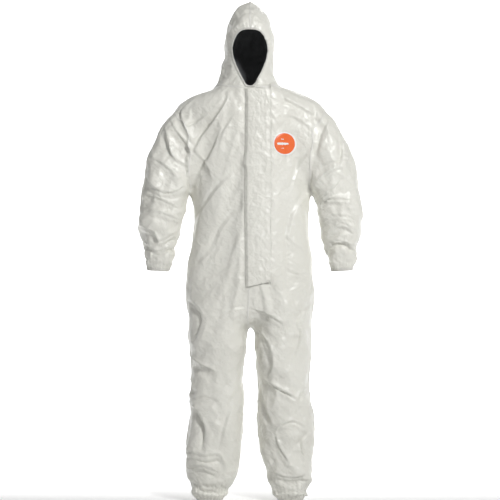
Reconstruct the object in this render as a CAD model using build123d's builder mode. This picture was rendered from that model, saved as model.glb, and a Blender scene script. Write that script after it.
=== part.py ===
from build123d import *
import math
import os

# Hooded chemical protective coverall, as it stands when worn: laminate panels, a zip under a
# storm flap, elastic wrists, ankles and face opening. Millimetres, +Z up, the front faces -Y,
# and +X is the wearer's left. The origin is on the floor, midway between the ankles.
# Each limb is cut into stiff tubes and short zones of fabric that deform where a joint bends.

# Fabric and trim
WALL = 1.2  # laminate panel
TAPE = 0.8  # heat-sealed seam tape
BINDING_T, BINDING_W = 1.6, 8.0  # armhole binding
AIR = 0.3  # between two pieces of one body that lie on each other
JOINT_AIR = 1.0  # between pieces of different bodies
SQUARENESS = 2.3  # superellipse exponent of a worn fabric tube
OUTLINE_POINTS = 8
BIG = 600  # more than half the width of the suit, for boxes that cut

# Heights above the floor
NECK_Z = 1558
HOOD_Z = 1612  # the hood moves above this, and the collar zone below it deforms
SEAT_TOP_Z = 800
LEG_TOP_Z = 650
ZIP_TOP_Z = 1546
ZIP_BOTTOM_Z = 830
FLAP_BOTTOM_Z = 806

# The front of the torso is a straight line that leans, so that the zip can run straight.
FRONT_TOP_Y = -90
FRONT_LEAN = 0.05
LEAN = math.degrees(math.atan(FRONT_LEAN))


def front_y(z):
    """Depth of the front line at height z."""
    return FRONT_TOP_Y - (NECK_Z - z) * FRONT_LEAN


# Torso sections, top down: height, half width, back depth
TORSO = [
    (NECK_Z, 110, 84),
    (1538, 168, 94),
    (1512, 234, 106),
    (1482, 276, 116),
    (1450, 288, 122),
    (1400, 276.5, 127),
    (1300, 253, 130),
    (1192, 228, 126),
    (1080, 221, 118),
    (980, 227, 118),
    (890, 238, 126),
    (SEAT_TOP_Z, 243, 134),
]

# Hood sections, bottom up: height, half width, front depth, back depth
COLLAR = [
    (NECK_Z + AIR, 111, -90, 86),
    (1584, 103, -88, 92),
    (HOOD_Z, 98, -87, 97),
]
HOOD = [
    (HOOD_Z + JOINT_AIR, 98, -87, 97),
    (1662, 91, -89, 107),
    (1705, 95, -95, 115),
    (1745, 94, -97, 117),
    (1785, 83, -92, 112),
    (1820, 66, -78, 98),
    (1850, 45, -50, 78),
    (1872, 20, -12, 52),
    (1884, 5, 10, 30),
]
# Face opening, right half from the top down: x, z
FACE = [(0, 1767), (46, 1750), (66, 1702), (54, 1645), (30, 1590), (0, 1562)]
FACE_MIDDLE_Z = 1665
FACE_RIM = 1.13  # outline of the elastic rim, as a share of the opening's
HOOD_TAPE_TOP_Z = 1848
HOOD_TAPE_FRONT_Z = 1785  # its lower end above the face opening
HOOD_TAPE_HALF = 6

# Sleeve sections in the XZ plane, from the armhole to the cuff:
# outer edge (x, z), inner edge (x, z), half depth
ARMHOLE = ((291, 1462), (228, 1192), 84)
ARMHOLE_REACH = 88  # the sleeve head reaches this far in to meet the rounded torso
SLEEVE_HEAD = [
    ((291, 1462), (229, 1194), 84),
    ((336, 1408), (231, 1184), 87),
    ((366, 1340), (234, 1176), 88),
]
SLEEVE_UPPER = [
    ((366.5, 1338.5), (234.5, 1174.5), 88),
    ((396, 1266), (240, 1166), 86),
    ((413, 1178), (245, 1158), 82),
]
SLEEVE_ELBOW = [
    ((413, 1177.5), (245, 1157.5), 82),
    ((416, 1105), (254, 1098), 78),
    ((414, 1038), (267, 1036), 72),
]
SLEEVE_LOWER = [
    ((414, 1036.5), (267, 1034.5), 72),
    ((411, 975), (279, 971), 66),
    ((401, 925), (292, 919), 55),
    ((391, 893), (301, 888), 45),
]

# Leg sections: height, centre x, half width, half depth
LEG_SEAT = [
    (750, 119, 117, 122),
    (700, 119, 112, 117),
    (LEG_TOP_Z, 120, 109, 113),
]
LEG_UPPER = [
    (LEG_TOP_Z - JOINT_AIR, 120, 109, 113),
    (580, 123, 107, 108),
    (496, 128, 105, 102),
]
LEG_KNEE = [
    (495.5, 128, 105, 102),
    (400, 133, 105, 99),
    (304, 140, 104, 97),
]
LEG_LOWER = [
    (303, 140, 104, 97),
    (210, 145, 101, 94),
    (120, 149, 94, 86),
    (62, 152, 80, 72),
]

# Elastic ends: band radius and width, hem radius
WRIST_R, ANKLE_R = 38, 44
BAND_T, BAND_W = 1.6, 14
HEM_T = 2.0

# Zip
TOOTH_W, TOOTH_H, TOOTH_T, TOOTH_PITCH = 2.6, 2.2, 2.4, 4.0
TOOTH_GAP = 1.4  # between the two rows, for the slider's web
ZIP_SLOT = 6  # half width of the slot between the front panels
TAPE_W = 15
SLIDER_W, SLIDER_H, SLIDER_T = 11, 15, 1.3
PULL_W, PULL_L, PULL_T = 9, 26, 1.2
PULL_RISE = 1.6  # of the bail pin above the slider

# Storm flap
FLAP_FREE_X, FLAP_HINGE_X = -18, 76
FLAP_LIFT, FLAP_T = 9.0, 1.6
FLAP_FOOT_W = 6

# Chest patch
PATCH_X, PATCH_Z, PATCH_R, PATCH_FACE_R = 129, 1340, 44.5, 39

os.makedirs("parts", exist_ok=True)


def write(name, part):
    """Labels a finished piece and writes its STEP file."""
    part.label = name
    export_step(part, f"parts/{name}.step")


def write_pair(name, part):
    """Writes a piece of the wearer's left side and its mirror image for the right side."""
    write(f"left_{name}", part)
    write(f"right_{name}", mirror(part, about=Plane.YZ))


def ring_points(half_width, front, back, grow):
    """Points round a worn fabric tube: a superellipse that starts at +X."""
    middle, depth = (front + back) / 2, (back - front) / 2 + grow
    points = []
    for k in range(OUTLINE_POINTS):
        angle = 2 * math.pi * k / OUTLINE_POINTS
        c, s = math.cos(angle), math.sin(angle)
        x = (half_width + grow) * math.copysign(abs(c) ** (2 / SQUARENESS), c)
        y = middle + depth * math.copysign(abs(s) ** (2 / SQUARENESS), s)
        points.append((x, y))
    return points


def level(z, half_width, front, back, x=0):
    """A horizontal section: its plane and its size."""
    return Plane(origin=(x, 0, z), x_dir=(1, 0, 0), z_dir=(0, 0, 1)), half_width, front, back


def slanted(outer, inner, half_depth):
    """A section square to the XZ plane, between its outer and its inner edge."""
    (ox, oz), (ix, iz) = outer, inner
    width = math.hypot(ox - ix, oz - iz)
    ux, uz = (ox - ix) / width, (oz - iz) / width
    plane = Plane(
        origin=((ox + ix) / 2, 0, (oz + iz) / 2), x_dir=(ux, 0, uz), z_dir=(-uz, 0, ux)
    )
    return plane, width / 2, -half_depth, half_depth


def solid_form(sections, grow=0.0):
    """The space inside a fabric tube, lofted through its sections."""
    with BuildPart() as form:
        for plane, half_width, front, back in sections:
            with BuildSketch(plane):
                with BuildLine():
                    Spline(ring_points(half_width, front, back, grow), periodic=True)
                make_face()
        loft()
    return form.part


def layer(sections, low, high):
    """The layer between two offsets of a tube: a wall, or a tape that lies on it."""
    outer, inner = solid_form(sections, high), solid_form(sections, low)
    with BuildPart() as shell:
        add(outer)
        add(inner, mode=Mode.SUBTRACT)
    return shell.part


def block(x0, x1, y0, y1, z0, z1):
    """A box between two corners."""
    with BuildPart() as box:
        with Locations(((x0 + x1) / 2, (y0 + y1) / 2, (z0 + z1) / 2)):
            Box(x1 - x0, y1 - y0, z1 - z0)
    return box.part


def cut(part, *tools):
    """The part without the tools."""
    with BuildPart() as left:
        add(part)
        for tool in tools:
            add(tool, mode=Mode.SUBTRACT)
    return left.part


def common(part, *tools):
    """What the part shares with every tool."""
    with BuildPart() as kept:
        add(part)
        for tool in tools:
            add(tool, mode=Mode.INTERSECT)
    return kept.part


def face_prism(scale=1.0):
    """The face opening, scaled about its middle and run through the front of the hood."""
    half = [(x * scale, FACE_MIDDLE_Z + (z - FACE_MIDDLE_Z) * scale) for x, z in FACE]
    outline = half + [(-x, z) for x, z in half[-2:0:-1]]
    with BuildPart() as prism:
        with BuildSketch(Plane.XZ.offset(20)):
            with BuildLine():
                Spline(outline, periodic=True)
            make_face()
        extrude(amount=140)
    return prism.part


# ---------------------------------------------------------------- torso
torso_sections = [level(z, w, front_y(z), back) for z, w, back in TORSO]
torso_form = solid_form(torso_sections)
torso_wall = layer(torso_sections, -WALL, 0)
torso_tape = layer(torso_sections, AIR, AIR + TAPE)

armhole_plane, armhole_half, _, _ = slanted(*ARMHOLE)
reach = armhole_plane.z_dir * ARMHOLE_REACH
inner_head = (
    Plane(
        origin=armhole_plane.origin + reach,
        x_dir=armhole_plane.x_dir,
        z_dir=armhole_plane.z_dir,
    ),
    armhole_half,
    -ARMHOLE[2],
    ARMHOLE[2],
)
head_sections = [inner_head] + [slanted(*s) for s in SLEEVE_HEAD]
head_form = solid_form(head_sections)

zip_slot = block(-ZIP_SLOT, ZIP_SLOT, -BIG, 0, ZIP_BOTTOM_Z, BIG * 3)
front_left = block(0, BIG, -BIG, 0, SEAT_TOP_Z - 1, NECK_Z + 1)
back_half = block(0, BIG, 0, BIG, SEAT_TOP_Z - 1, NECK_Z + 1)

front_left_panel = cut(common(torso_wall, front_left), head_form, zip_slot)
write("front_left_panel", front_left_panel)
write("front_right_panel", mirror(front_left_panel, about=Plane.YZ))
left_back = cut(common(torso_wall, back_half), head_form)
with BuildPart() as back_panel:
    add(left_back)
    add(mirror(left_back, about=Plane.YZ))
write("back_panel", back_panel.part)

# Tapes over the side and shoulder seams, where the front and back panels meet
SEAM_HALF = 9
seam_band = block(0, BIG, -SEAM_HALF, SEAM_HALF, SEAT_TOP_Z + 1, NECK_Z - 3)
TAPE_STOP = 6.5  # the tapes stop this far from the sleeve
seams = cut(common(torso_tape, seam_band), solid_form(head_sections, TAPE_STOP))
upper, lower = seams.solids().sort_by(Axis.Z)[-1], seams.solids().sort_by(Axis.Z)[0]
write_pair("shoulder_seam_tape", Part(upper.wrapped))
write_pair("side_seam_tape", Part(lower.wrapped))

# Binding round each armhole, on the torso and against the sleeve
binding_outer = solid_form(head_sections, AIR + BINDING_T)
binding_reach = solid_form(torso_sections, BINDING_W)
binding_inner = solid_form(head_sections, AIR)
binding_floor = solid_form(torso_sections, AIR)
with BuildPart() as armhole_binding:
    add(binding_outer)
    add(binding_reach, mode=Mode.INTERSECT)
    add(binding_inner, mode=Mode.SUBTRACT)
    add(binding_floor, mode=Mode.SUBTRACT)
write_pair("armhole_binding", armhole_binding.part)

# Binding where the collar is sewn on, open at the zip
NECK_BINDING_T = 1.5
NECK_AIR = 0.9  # between the binding and the sloping shoulders
CHIN_GAP = 22  # half width of the gap in the binding, at the zip
neck_sections = [level(NECK_Z - 3, 113, -89.8, 86), level(NECK_Z + 3, 112, -89.8, 86.5)]
neck_ring = layer(neck_sections, AIR, AIR + NECK_BINDING_T)
chin_gap = block(-CHIN_GAP, CHIN_GAP, -BIG, 0, 0, BIG * 3)
write("neck_binding", cut(neck_ring, chin_gap, solid_form(torso_sections, NECK_AIR)))

# Blank size label inside the nape
write("neck_label", block(-20, 20, 76.5, 77.3, 1515, 1549))

# Chest patch: a white border under a coloured face
BORDER_T, FACE_T = 0.8, 0.6
PATCH_NEAR, PATCH_DEPTH = 40, 160  # the cutting cylinder runs between these, out of the front
border_layer = layer(torso_sections, AIR, AIR + BORDER_T)
face_layer = layer(torso_sections, AIR + BORDER_T, AIR + BORDER_T + FACE_T)
with BuildPart() as patch_border:
    add(border_layer)
    with BuildSketch(Plane.XZ.offset(PATCH_NEAR)):
        with Locations((PATCH_X, PATCH_Z)):
            Circle(PATCH_R)
    extrude(amount=PATCH_DEPTH, mode=Mode.INTERSECT)
write("chest_patch_border", patch_border.part)
with BuildPart() as patch_face:
    add(face_layer)
    with BuildSketch(Plane.XZ.offset(PATCH_NEAR)):
        with Locations((PATCH_X, PATCH_Z)):
            Circle(PATCH_FACE_R)
    extrude(amount=PATCH_DEPTH, mode=Mode.INTERSECT)
write("chest_patch_face", patch_face.part)

# ---------------------------------------------------------------- zip
# The zip's plane leans with the front line: local Y runs up along the zip, local Z outward.
zip_origin = Vector(0, front_y(ZIP_BOTTOM_Z), ZIP_BOTTOM_Z)
out = Vector(0, -math.cos(math.radians(LEAN)), math.sin(math.radians(LEAN)))
zip_plane = Plane(origin=zip_origin, x_dir=(1, 0, 0), z_dir=out)
ZIP_LENGTH = (ZIP_TOP_Z - ZIP_BOTTOM_Z) / math.cos(math.radians(LEAN))
TAPE_LOW, TAPE_HIGH = 0.4, 1.4
TOOTH_MID = (TAPE_LOW + TAPE_HIGH) / 2

with BuildPart() as zip_tape:
    with BuildSketch(zip_plane.offset(TAPE_LOW)):
        with Locations((TOOTH_GAP / 2 + TOOTH_W + AIR + TAPE_W / 2, ZIP_LENGTH / 2)):
            Rectangle(TAPE_W, ZIP_LENGTH)
    extrude(amount=TAPE_HIGH - TAPE_LOW)
write_pair("zipper_tape", zip_tape.part)

STOP_H = 5
teeth_count = int((ZIP_LENGTH - 2 * STOP_H - 4) / TOOTH_PITCH)
with BuildPart() as teeth:
    with BuildSketch(zip_plane.offset(TOOTH_MID - TOOTH_T / 2)):
        for k in range(teeth_count):
            with Locations((TOOTH_GAP / 2 + TOOTH_W / 2, STOP_H + 3 + TOOTH_PITCH * (k + 0.5))):
                RectangleRounded(TOOTH_W, TOOTH_H, 0.4)
    extrude(amount=TOOTH_T)
write_pair("zipper_teeth", teeth.part)

with BuildPart() as bottom_stop:
    with BuildSketch(zip_plane.offset(TOOTH_MID - TOOTH_T / 2)):
        with Locations((0, STOP_H / 2 + 1)):
            RectangleRounded(TOOTH_GAP + 2 * TOOTH_W - AIR, STOP_H, 1)
    extrude(amount=TOOTH_T)
write("zipper_bottom_stop", bottom_stop.part)

with BuildPart() as top_stops:
    with BuildSketch(zip_plane.offset(TOOTH_MID - TOOTH_T / 2)):
        for side in (-1, 1):
            with Locations((side * (TOOTH_GAP / 2 + TOOTH_W / 2), ZIP_LENGTH - STOP_H / 2)):
                RectangleRounded(TOOTH_W, STOP_H - 1, 0.8)
    extrude(amount=TOOTH_T)
write("zipper_top_stops", top_stops.part)

# Slider: a front and a back shield joined by a web that runs between the rows of teeth
SLIDER_Y = ZIP_LENGTH - STOP_H - SLIDER_H / 2 - 2
SLIDER_FRONT = TOOTH_MID + TOOTH_T / 2 + 0.4
SLIDER_BACK = TOOTH_MID - TOOTH_T / 2 - 0.4
WEB_T = 0.8
with BuildPart() as slider:
    with BuildSketch(zip_plane.offset(SLIDER_FRONT)):
        with Locations((0, SLIDER_Y)):
            RectangleRounded(SLIDER_W, SLIDER_H, 3)
    extrude(amount=SLIDER_T)
    with BuildSketch(zip_plane.offset(SLIDER_BACK - SLIDER_T)):
        with Locations((0, SLIDER_Y)):
            RectangleRounded(2 * ZIP_SLOT - 2, SLIDER_H - 2, 3)
    extrude(amount=SLIDER_T)
    with BuildSketch(zip_plane.offset(SLIDER_BACK - 0.1)):
        with Locations((0, SLIDER_Y)):
            Rectangle(WEB_T, SLIDER_H - 5)
    extrude(amount=SLIDER_FRONT - SLIDER_BACK + 0.2)
    # two ears hold the bail pin of the pull tab
    for side in (-1, 1):
        with BuildSketch(zip_plane.offset(SLIDER_FRONT + SLIDER_T - 0.1)):
            with Locations((side * 3.1, SLIDER_Y + 3)):
                RectangleRounded(1.4, 4.4, 0.3)
        extrude(amount=PULL_RISE + 1.0)
write("zipper_slider", slider.part)

# Pull tab: a bail pin between the ears, and a tab that hangs down over the slider
PIN_R = 0.75
PIN_Z = SLIDER_FRONT + SLIDER_T + PULL_RISE
pin_plane = Plane(
    origin=zip_plane.from_local_coords(Vector(-2.3, SLIDER_Y + 3, PIN_Z)),
    x_dir=zip_plane.y_dir,
    z_dir=(1, 0, 0),
)
with BuildPart() as pull_tab:
    with BuildSketch(pin_plane):
        Circle(PIN_R)
    extrude(amount=4.6)
    with BuildSketch(zip_plane.offset(PIN_Z - PULL_T / 2)):
        with Locations((0, SLIDER_Y + 1.5)):
            Rectangle(3.4, 3)
        with Locations((0, SLIDER_Y - PULL_L / 2)):
            RectangleRounded(PULL_W, PULL_L, 3)
        with Locations((0, SLIDER_Y - PULL_L + 5)):
            Circle(2.2, mode=Mode.SUBTRACT)
    extrude(amount=PULL_T)
write("zipper_pull_tab", pull_tab.part)

# ---------------------------------------------------------------- storm flap
flap_shell = layer(torso_sections, FLAP_LIFT, FLAP_LIFT + FLAP_T)
flap_window = block(FLAP_FREE_X, FLAP_HINGE_X, -BIG, 0, FLAP_BOTTOM_Z, ZIP_TOP_Z)
write("storm_flap", common(flap_shell, flap_window))
STRIP_W, STRIP_T = 6, 0.5
STRIP_EDGE = 2  # from the free edge of the flap
STRIP_LIFT = FLAP_LIFT - 1.1
strip_length = ZIP_LENGTH - 30
with BuildPart() as adhesive_strip:
    with BuildSketch(zip_plane.offset(STRIP_LIFT)):
        with Locations((FLAP_FREE_X + STRIP_EDGE + STRIP_W / 2, strip_length / 2)):
            Rectangle(STRIP_W, strip_length)
    extrude(amount=STRIP_T)
write("flap_adhesive_strip", adhesive_strip.part)
# The folded seam that the flap is sewn into
foot_window = block(
    FLAP_HINGE_X + JOINT_AIR,
    FLAP_HINGE_X + JOINT_AIR + FLAP_FOOT_W,
    -BIG,
    0,
    FLAP_BOTTOM_Z,
    ZIP_TOP_Z - 8,
)
write("flap_seam_fold", common(layer(torso_sections, AIR, FLAP_LIFT + FLAP_T), foot_window))

# ---------------------------------------------------------------- hood
collar_sections = [level(*s) for s in COLLAR]
hood_sections = [level(*s) for s in HOOD]
face = face_prism()
collar_slit = block(-5, 5, -BIG, 0, 0, 1580)
write("hood_collar", cut(layer(collar_sections, -WALL, 0), face, collar_slit))

hood_wall = cut(layer(hood_sections, -WALL, 0), face)
left_half = block(0, BIG, -BIG, BIG, 0, BIG * 4)
hood_left_panel = common(hood_wall, left_half)
write("hood_left_panel", hood_left_panel)
write("hood_right_panel", mirror(hood_left_panel, about=Plane.YZ))

rim_prism = common(cut(face_prism(FACE_RIM), face), block(-BIG, BIG, -BIG, BIG, HOOD_Z + 2, BIG * 4))
write("hood_face_elastic", common(layer(hood_sections, AIR, 3.2), rim_prism))
# The tape over the centre seam runs up the back, and above the face opening
tape_bands = (
    block(-HOOD_TAPE_HALF, HOOD_TAPE_HALF, 0, BIG, HOOD_Z + 3, HOOD_TAPE_TOP_Z),
    block(-HOOD_TAPE_HALF, HOOD_TAPE_HALF, -BIG, 0, HOOD_TAPE_FRONT_Z, HOOD_TAPE_TOP_Z),
)
hood_tape_layer = layer(hood_sections, AIR, AIR + TAPE)
tape_pieces = [common(hood_tape_layer, band) for band in tape_bands]
with BuildPart() as hood_tape:
    for piece in tape_pieces:
        add(piece)
write("hood_center_seam_tape", hood_tape.part)

# ---------------------------------------------------------------- sleeves
head_wall = cut(layer(head_sections, -WALL, 0), torso_form)
write_pair("sleeve_head", Part(head_wall.solids().sort_by(Axis.X)[-1].wrapped))

upper_sections = [slanted(*s) for s in SLEEVE_UPPER]
elbow_sections = [slanted(*s) for s in SLEEVE_ELBOW]
lower_sections = [slanted(*s) for s in SLEEVE_LOWER]
write_pair("sleeve_upper", layer(upper_sections, -WALL, 0))
write_pair("sleeve_elbow", layer(elbow_sections, -WALL, 0))
write_pair("sleeve_lower", layer(lower_sections, -WALL, 0))

# Seam tape along the inner side of the forearm, where the sleeve is closed
FOREARM_X, FOREARM_TOP_Z = 330, 1028  # the tape lies inboard of and below these
under_arm = block(0, FOREARM_X, -SEAM_HALF, SEAM_HALF, 0, FOREARM_TOP_Z)
write_pair("sleeve_seam_tape", common(layer(lower_sections, AIR, AIR + TAPE), under_arm))


def elastic_end(plane, radius, length, inner):
    """The hem casing that narrows to an elastic end. The band rides in its mouth."""
    with BuildPart() as hem:
        with BuildSketch(plane):
            with BuildLine():
                Spline(ring_points(*inner, 0), periodic=True)
            make_face()
        with BuildSketch(plane.offset(-length + BAND_W + 2)):
            Circle(radius + BAND_T + AIR + HEM_T)
        loft(ruled=True)
        with BuildSketch(plane.offset(-length + BAND_W + 2)):
            Circle(radius + BAND_T + AIR + HEM_T)
        extrude(amount=-(BAND_W + 2))
        with BuildSketch(plane):
            with BuildLine():
                Spline(ring_points(*inner, -WALL), periodic=True)
            make_face()
        with BuildSketch(plane.offset(-length + BAND_W + 2)):
            Circle(radius + BAND_T + AIR)
        loft(ruled=True, mode=Mode.SUBTRACT)
        with BuildSketch(plane.offset(-length + BAND_W + 2)):
            Circle(radius + BAND_T + AIR)
        extrude(amount=-(BAND_W + 2), mode=Mode.SUBTRACT)
    return hem.part


def elastic_band(plane, radius, length):
    """A round elastic band, whose inside is the opening that a glove or boot fits."""
    with BuildPart() as band:
        with BuildSketch(plane.offset(-length + BAND_W + 1)):
            Circle(radius + BAND_T)
            Circle(radius, mode=Mode.SUBTRACT)
        extrude(amount=-BAND_W)
    return band.part


CUFF_LENGTH = 26
cuff_plane, cuff_half, _, cuff_depth = slanted(*SLEEVE_LOWER[-1])
cuff_plane = cuff_plane.offset(-AIR)
cuff_rim = (cuff_half, -cuff_depth, cuff_depth)
write_pair("wrist_hem", elastic_end(cuff_plane, WRIST_R, CUFF_LENGTH, cuff_rim))
write_pair("wrist_elastic", elastic_band(cuff_plane, WRIST_R, CUFF_LENGTH))

# ---------------------------------------------------------------- seat and legs
seat_sections = [
    level(SEAT_TOP_Z - AIR, 243, front_y(SEAT_TOP_Z), 134),
    level(760, 240, front_y(760), 131),
    level(722, 232, -122, 122),
    level(692, 200, -105, 102),
    level(672, 140, -72, 70),
]


def leg(sections):
    """The horizontal sections of the wearer's left leg."""
    return [level(z, w, -d, d, x) for z, x, w, d in sections]


def seat_half(grow):
    """Half the seat: the lower trunk run into the top of one leg."""
    trunk, thigh = solid_form(seat_sections, grow), solid_form(leg(LEG_SEAT), grow)
    left_side = block(-grow, BIG, -BIG, BIG, 0, NECK_Z)
    with BuildPart() as half:
        add(trunk)
        add(thigh)
        add(left_side, mode=Mode.INTERSECT)
    return half.part


seat_left = cut(seat_half(0), solid_form(seat_sections, -WALL), solid_form(leg(LEG_SEAT), -WALL))
write_pair("seat", seat_left)

write_pair("leg_upper", layer(leg(LEG_UPPER), -WALL, 0))
write_pair("leg_knee", layer(leg(LEG_KNEE), -WALL, 0))
write_pair("leg_lower", layer(leg(LEG_LOWER), -WALL, 0))

inseam = block(0, 120, -SEAM_HALF, SEAM_HALF, 0, LEG_TOP_Z - 8)
write_pair("inseam_tape_upper", common(layer(leg(LEG_UPPER), AIR, AIR + TAPE), inseam))
write_pair("inseam_tape_lower", common(layer(leg(LEG_LOWER), AIR, AIR + TAPE), inseam))

ankle_z, ankle_x, ankle_half, ankle_depth = LEG_LOWER[-1]
ankle_plane = Plane(origin=(ankle_x, 0, ankle_z - AIR), x_dir=(1, 0, 0), z_dir=(0, 0, 1))
ankle_length = ankle_z - AIR
ankle_rim = (ankle_half, -ankle_depth, ankle_depth)
write_pair("ankle_hem", elastic_end(ankle_plane, ANKLE_R, ankle_length, ankle_rim))
write_pair("ankle_elastic", elastic_band(ankle_plane, ANKLE_R, ankle_length))
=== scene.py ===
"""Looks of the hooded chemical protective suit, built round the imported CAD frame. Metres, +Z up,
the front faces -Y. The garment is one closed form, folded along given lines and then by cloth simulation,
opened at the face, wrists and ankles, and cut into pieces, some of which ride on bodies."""

import math

import bmesh
import bpy
import numpy as np
from mathutils import Matrix, Vector, noise
from mathutils.bvhtree import BVHTree


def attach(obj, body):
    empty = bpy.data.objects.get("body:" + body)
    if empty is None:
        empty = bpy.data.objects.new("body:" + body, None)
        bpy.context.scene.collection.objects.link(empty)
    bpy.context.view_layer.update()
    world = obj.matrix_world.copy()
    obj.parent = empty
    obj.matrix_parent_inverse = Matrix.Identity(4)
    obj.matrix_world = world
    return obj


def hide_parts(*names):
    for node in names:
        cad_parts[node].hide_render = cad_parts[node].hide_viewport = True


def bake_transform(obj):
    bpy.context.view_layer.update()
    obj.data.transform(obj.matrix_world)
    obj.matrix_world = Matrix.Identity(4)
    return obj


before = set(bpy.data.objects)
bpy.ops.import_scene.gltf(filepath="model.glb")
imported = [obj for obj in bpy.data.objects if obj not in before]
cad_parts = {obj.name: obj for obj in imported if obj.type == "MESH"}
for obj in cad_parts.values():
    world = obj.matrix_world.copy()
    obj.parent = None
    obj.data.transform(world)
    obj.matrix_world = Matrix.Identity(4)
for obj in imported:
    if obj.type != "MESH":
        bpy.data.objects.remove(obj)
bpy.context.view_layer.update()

# ------------------------------------------------------------------ measures
VOXEL = 0.009
RING = 72  # points round a section
SQUARENESS = 2.3
NECK_Z = 1.558
ZIP_BOTTOM, ZIP_TOP = 0.830, 1.546
ZIP_SLOT = 0.006  # half width of the slot behind the zip
FLAP_HINGE = 0.0765
FLAP_RISE = 0.0094  # how far the flap stands off the front, over the slider and its pull tab

# Torso sections: height, half width, front y, back y
TORSO = [
    (1.575, 0.085, -0.080, 0.078),
    (1.558, 0.112, -0.090, 0.084),
    (1.538, 0.168, -0.091, 0.094),
    (1.512, 0.232, -0.0925, 0.106),
    (1.482, 0.274, -0.094, 0.116),
    (1.450, 0.287, -0.0955, 0.122),
    (1.400, 0.276, -0.098, 0.127),
    (1.300, 0.252, -0.103, 0.130),
    (1.192, 0.226, -0.108, 0.126),
    (1.080, 0.221, -0.114, 0.118),
    (0.980, 0.228, -0.119, 0.118),
    (0.890, 0.239, -0.1235, 0.126),
    (0.800, 0.243, -0.128, 0.134),
    (0.745, 0.240, -0.128, 0.131),
    (0.710, 0.226, -0.120, 0.120),
    (0.686, 0.190, -0.100, 0.098),
    (0.672, 0.120, -0.065, 0.062),
]
# Hood sections: height, centre x, half width, front y, back y
HOOD = [
    (1.535, 0.0, 0.135, -0.086, 0.090),
    (1.560, -0.006, 0.122, -0.090, 0.088),
    (1.585, -0.010, 0.106, -0.088, 0.092),
    (1.612, -0.012, 0.101, -0.087, 0.097),
    (1.642, -0.012, 0.096, -0.087, 0.103),
    (1.672, -0.004, 0.091, -0.090, 0.109),
    (1.705, -0.002, 0.095, -0.095, 0.115),
    (1.745, -0.002, 0.094, -0.097, 0.117),
    (1.785, -0.001, 0.083, -0.092, 0.112),
    (1.820, -0.001, 0.067, -0.080, 0.100),
    (1.850, -0.003, 0.046, -0.055, 0.082),
    (1.870, 0.000, 0.021, -0.028, 0.060),
    (1.882, 0.000, 0.004, 0.000, 0.030),
]
# Sleeve sections: outer edge (x, z), inner edge (x, z), half depth
SLEEVE = [
    ((0.205, 1.482), (0.142, 1.212), 0.084),
    ((0.291, 1.462), (0.229, 1.194), 0.084),
    ((0.336, 1.408), (0.231, 1.184), 0.087),
    ((0.366, 1.340), (0.234, 1.176), 0.088),
    ((0.396, 1.266), (0.240, 1.166), 0.086),
    ((0.412, 1.178), (0.245, 1.158), 0.082),
    ((0.415, 1.105), (0.256, 1.098), 0.078),
    ((0.411, 1.038), (0.269, 1.036), 0.072),
    ((0.407, 0.975), (0.278, 0.971), 0.065),
    ((0.401, 0.925), (0.288, 0.919), 0.057),
    ((0.395, 0.896), (0.297, 0.891), 0.049),
    ((0.389, 0.880), (0.305, 0.875), 0.042),
    ((0.386, 0.864), (0.309, 0.859), 0.039),
]
# Leg sections: height, centre x, half width, half depth
LEG = [
    (0.760, 0.116, 0.118, 0.122),
    (0.700, 0.118, 0.113, 0.118),
    (0.650, 0.119, 0.108, 0.113),
    (0.580, 0.122, 0.105, 0.108),
    (0.496, 0.127, 0.102, 0.102),
    (0.400, 0.132, 0.106, 0.099),
    (0.304, 0.139, 0.104, 0.097),
    (0.210, 0.145, 0.102, 0.095),
    (0.120, 0.148, 0.098, 0.090),
    (0.070, 0.150, 0.088, 0.082),
    (0.036, 0.151, 0.077, 0.071),
    (0.019, 0.152, 0.062, 0.060),
    (0.008, 0.152, 0.050, 0.050),
    (0.000, 0.152, 0.047, 0.047),
]
# Face opening, right half from the top down: x, z
FACE = [(0.0, 1.767), (0.030, 1.763), (0.052, 1.742), (0.066, 1.700), (0.062, 1.665),
        (0.050, 1.630), (0.034, 1.595), (0.014, 1.562), (0.0, 1.556)]


# ------------------------------------------------------------------ mesh helpers
def superellipse(n):
    """Unit points round a worn fabric tube."""
    a = np.arange(n) * 2 * np.pi / n
    c, s = np.cos(a), np.sin(a)
    power = 2 / SQUARENESS
    return np.sign(c) * np.abs(c) ** power, np.sign(s) * np.abs(s) ** power


def smooth_rows(rows, steps):
    """Rows of numbers, read along a smooth curve through them."""
    rows = np.array(rows, float)
    n = len(rows)
    out = []
    for i in range(n - 1):
        p0, p1 = rows[max(i - 1, 0)], rows[i]
        p2, p3 = rows[i + 1], rows[min(i + 2, n - 1)]
        for k in range(steps):
            t = k / steps
            out.append(
                0.5 * (2 * p1 + (p2 - p0) * t + (2 * p0 - 5 * p1 + 4 * p2 - p3) * t * t
                       + (3 * p1 - p0 - 3 * p2 + p3) * t ** 3)
            )
    out.append(rows[-1])
    return np.array(out)


def tube(rings):
    """A closed tube through rings of points, with flat ends."""
    n, m = rings.shape[0], rings.shape[1]
    verts = rings.reshape(-1, 3).tolist()
    faces = [
        (i * m + j, i * m + (j + 1) % m, (i + 1) * m + (j + 1) % m, (i + 1) * m + j)
        for i in range(n - 1)
        for j in range(m)
    ]
    faces.append(tuple(range(m))[::-1])
    faces.append(tuple((n - 1) * m + j for j in range(m)))
    return verts, faces


def level_rings(rows, grow=0.0):
    """Horizontal rings from rows of height, centre x, half width, front y and back y."""
    ux, uy = superellipse(RING)
    rings = []
    for z, cx, hw, front, back in smooth_rows(rows, 3):
        x = cx + ux * (hw + grow)
        y = (front + back) / 2 + uy * ((back - front) / 2 + grow)
        rings.append(np.stack([x, y, np.full(RING, z)], 1))
    return np.array(rings)


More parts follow.
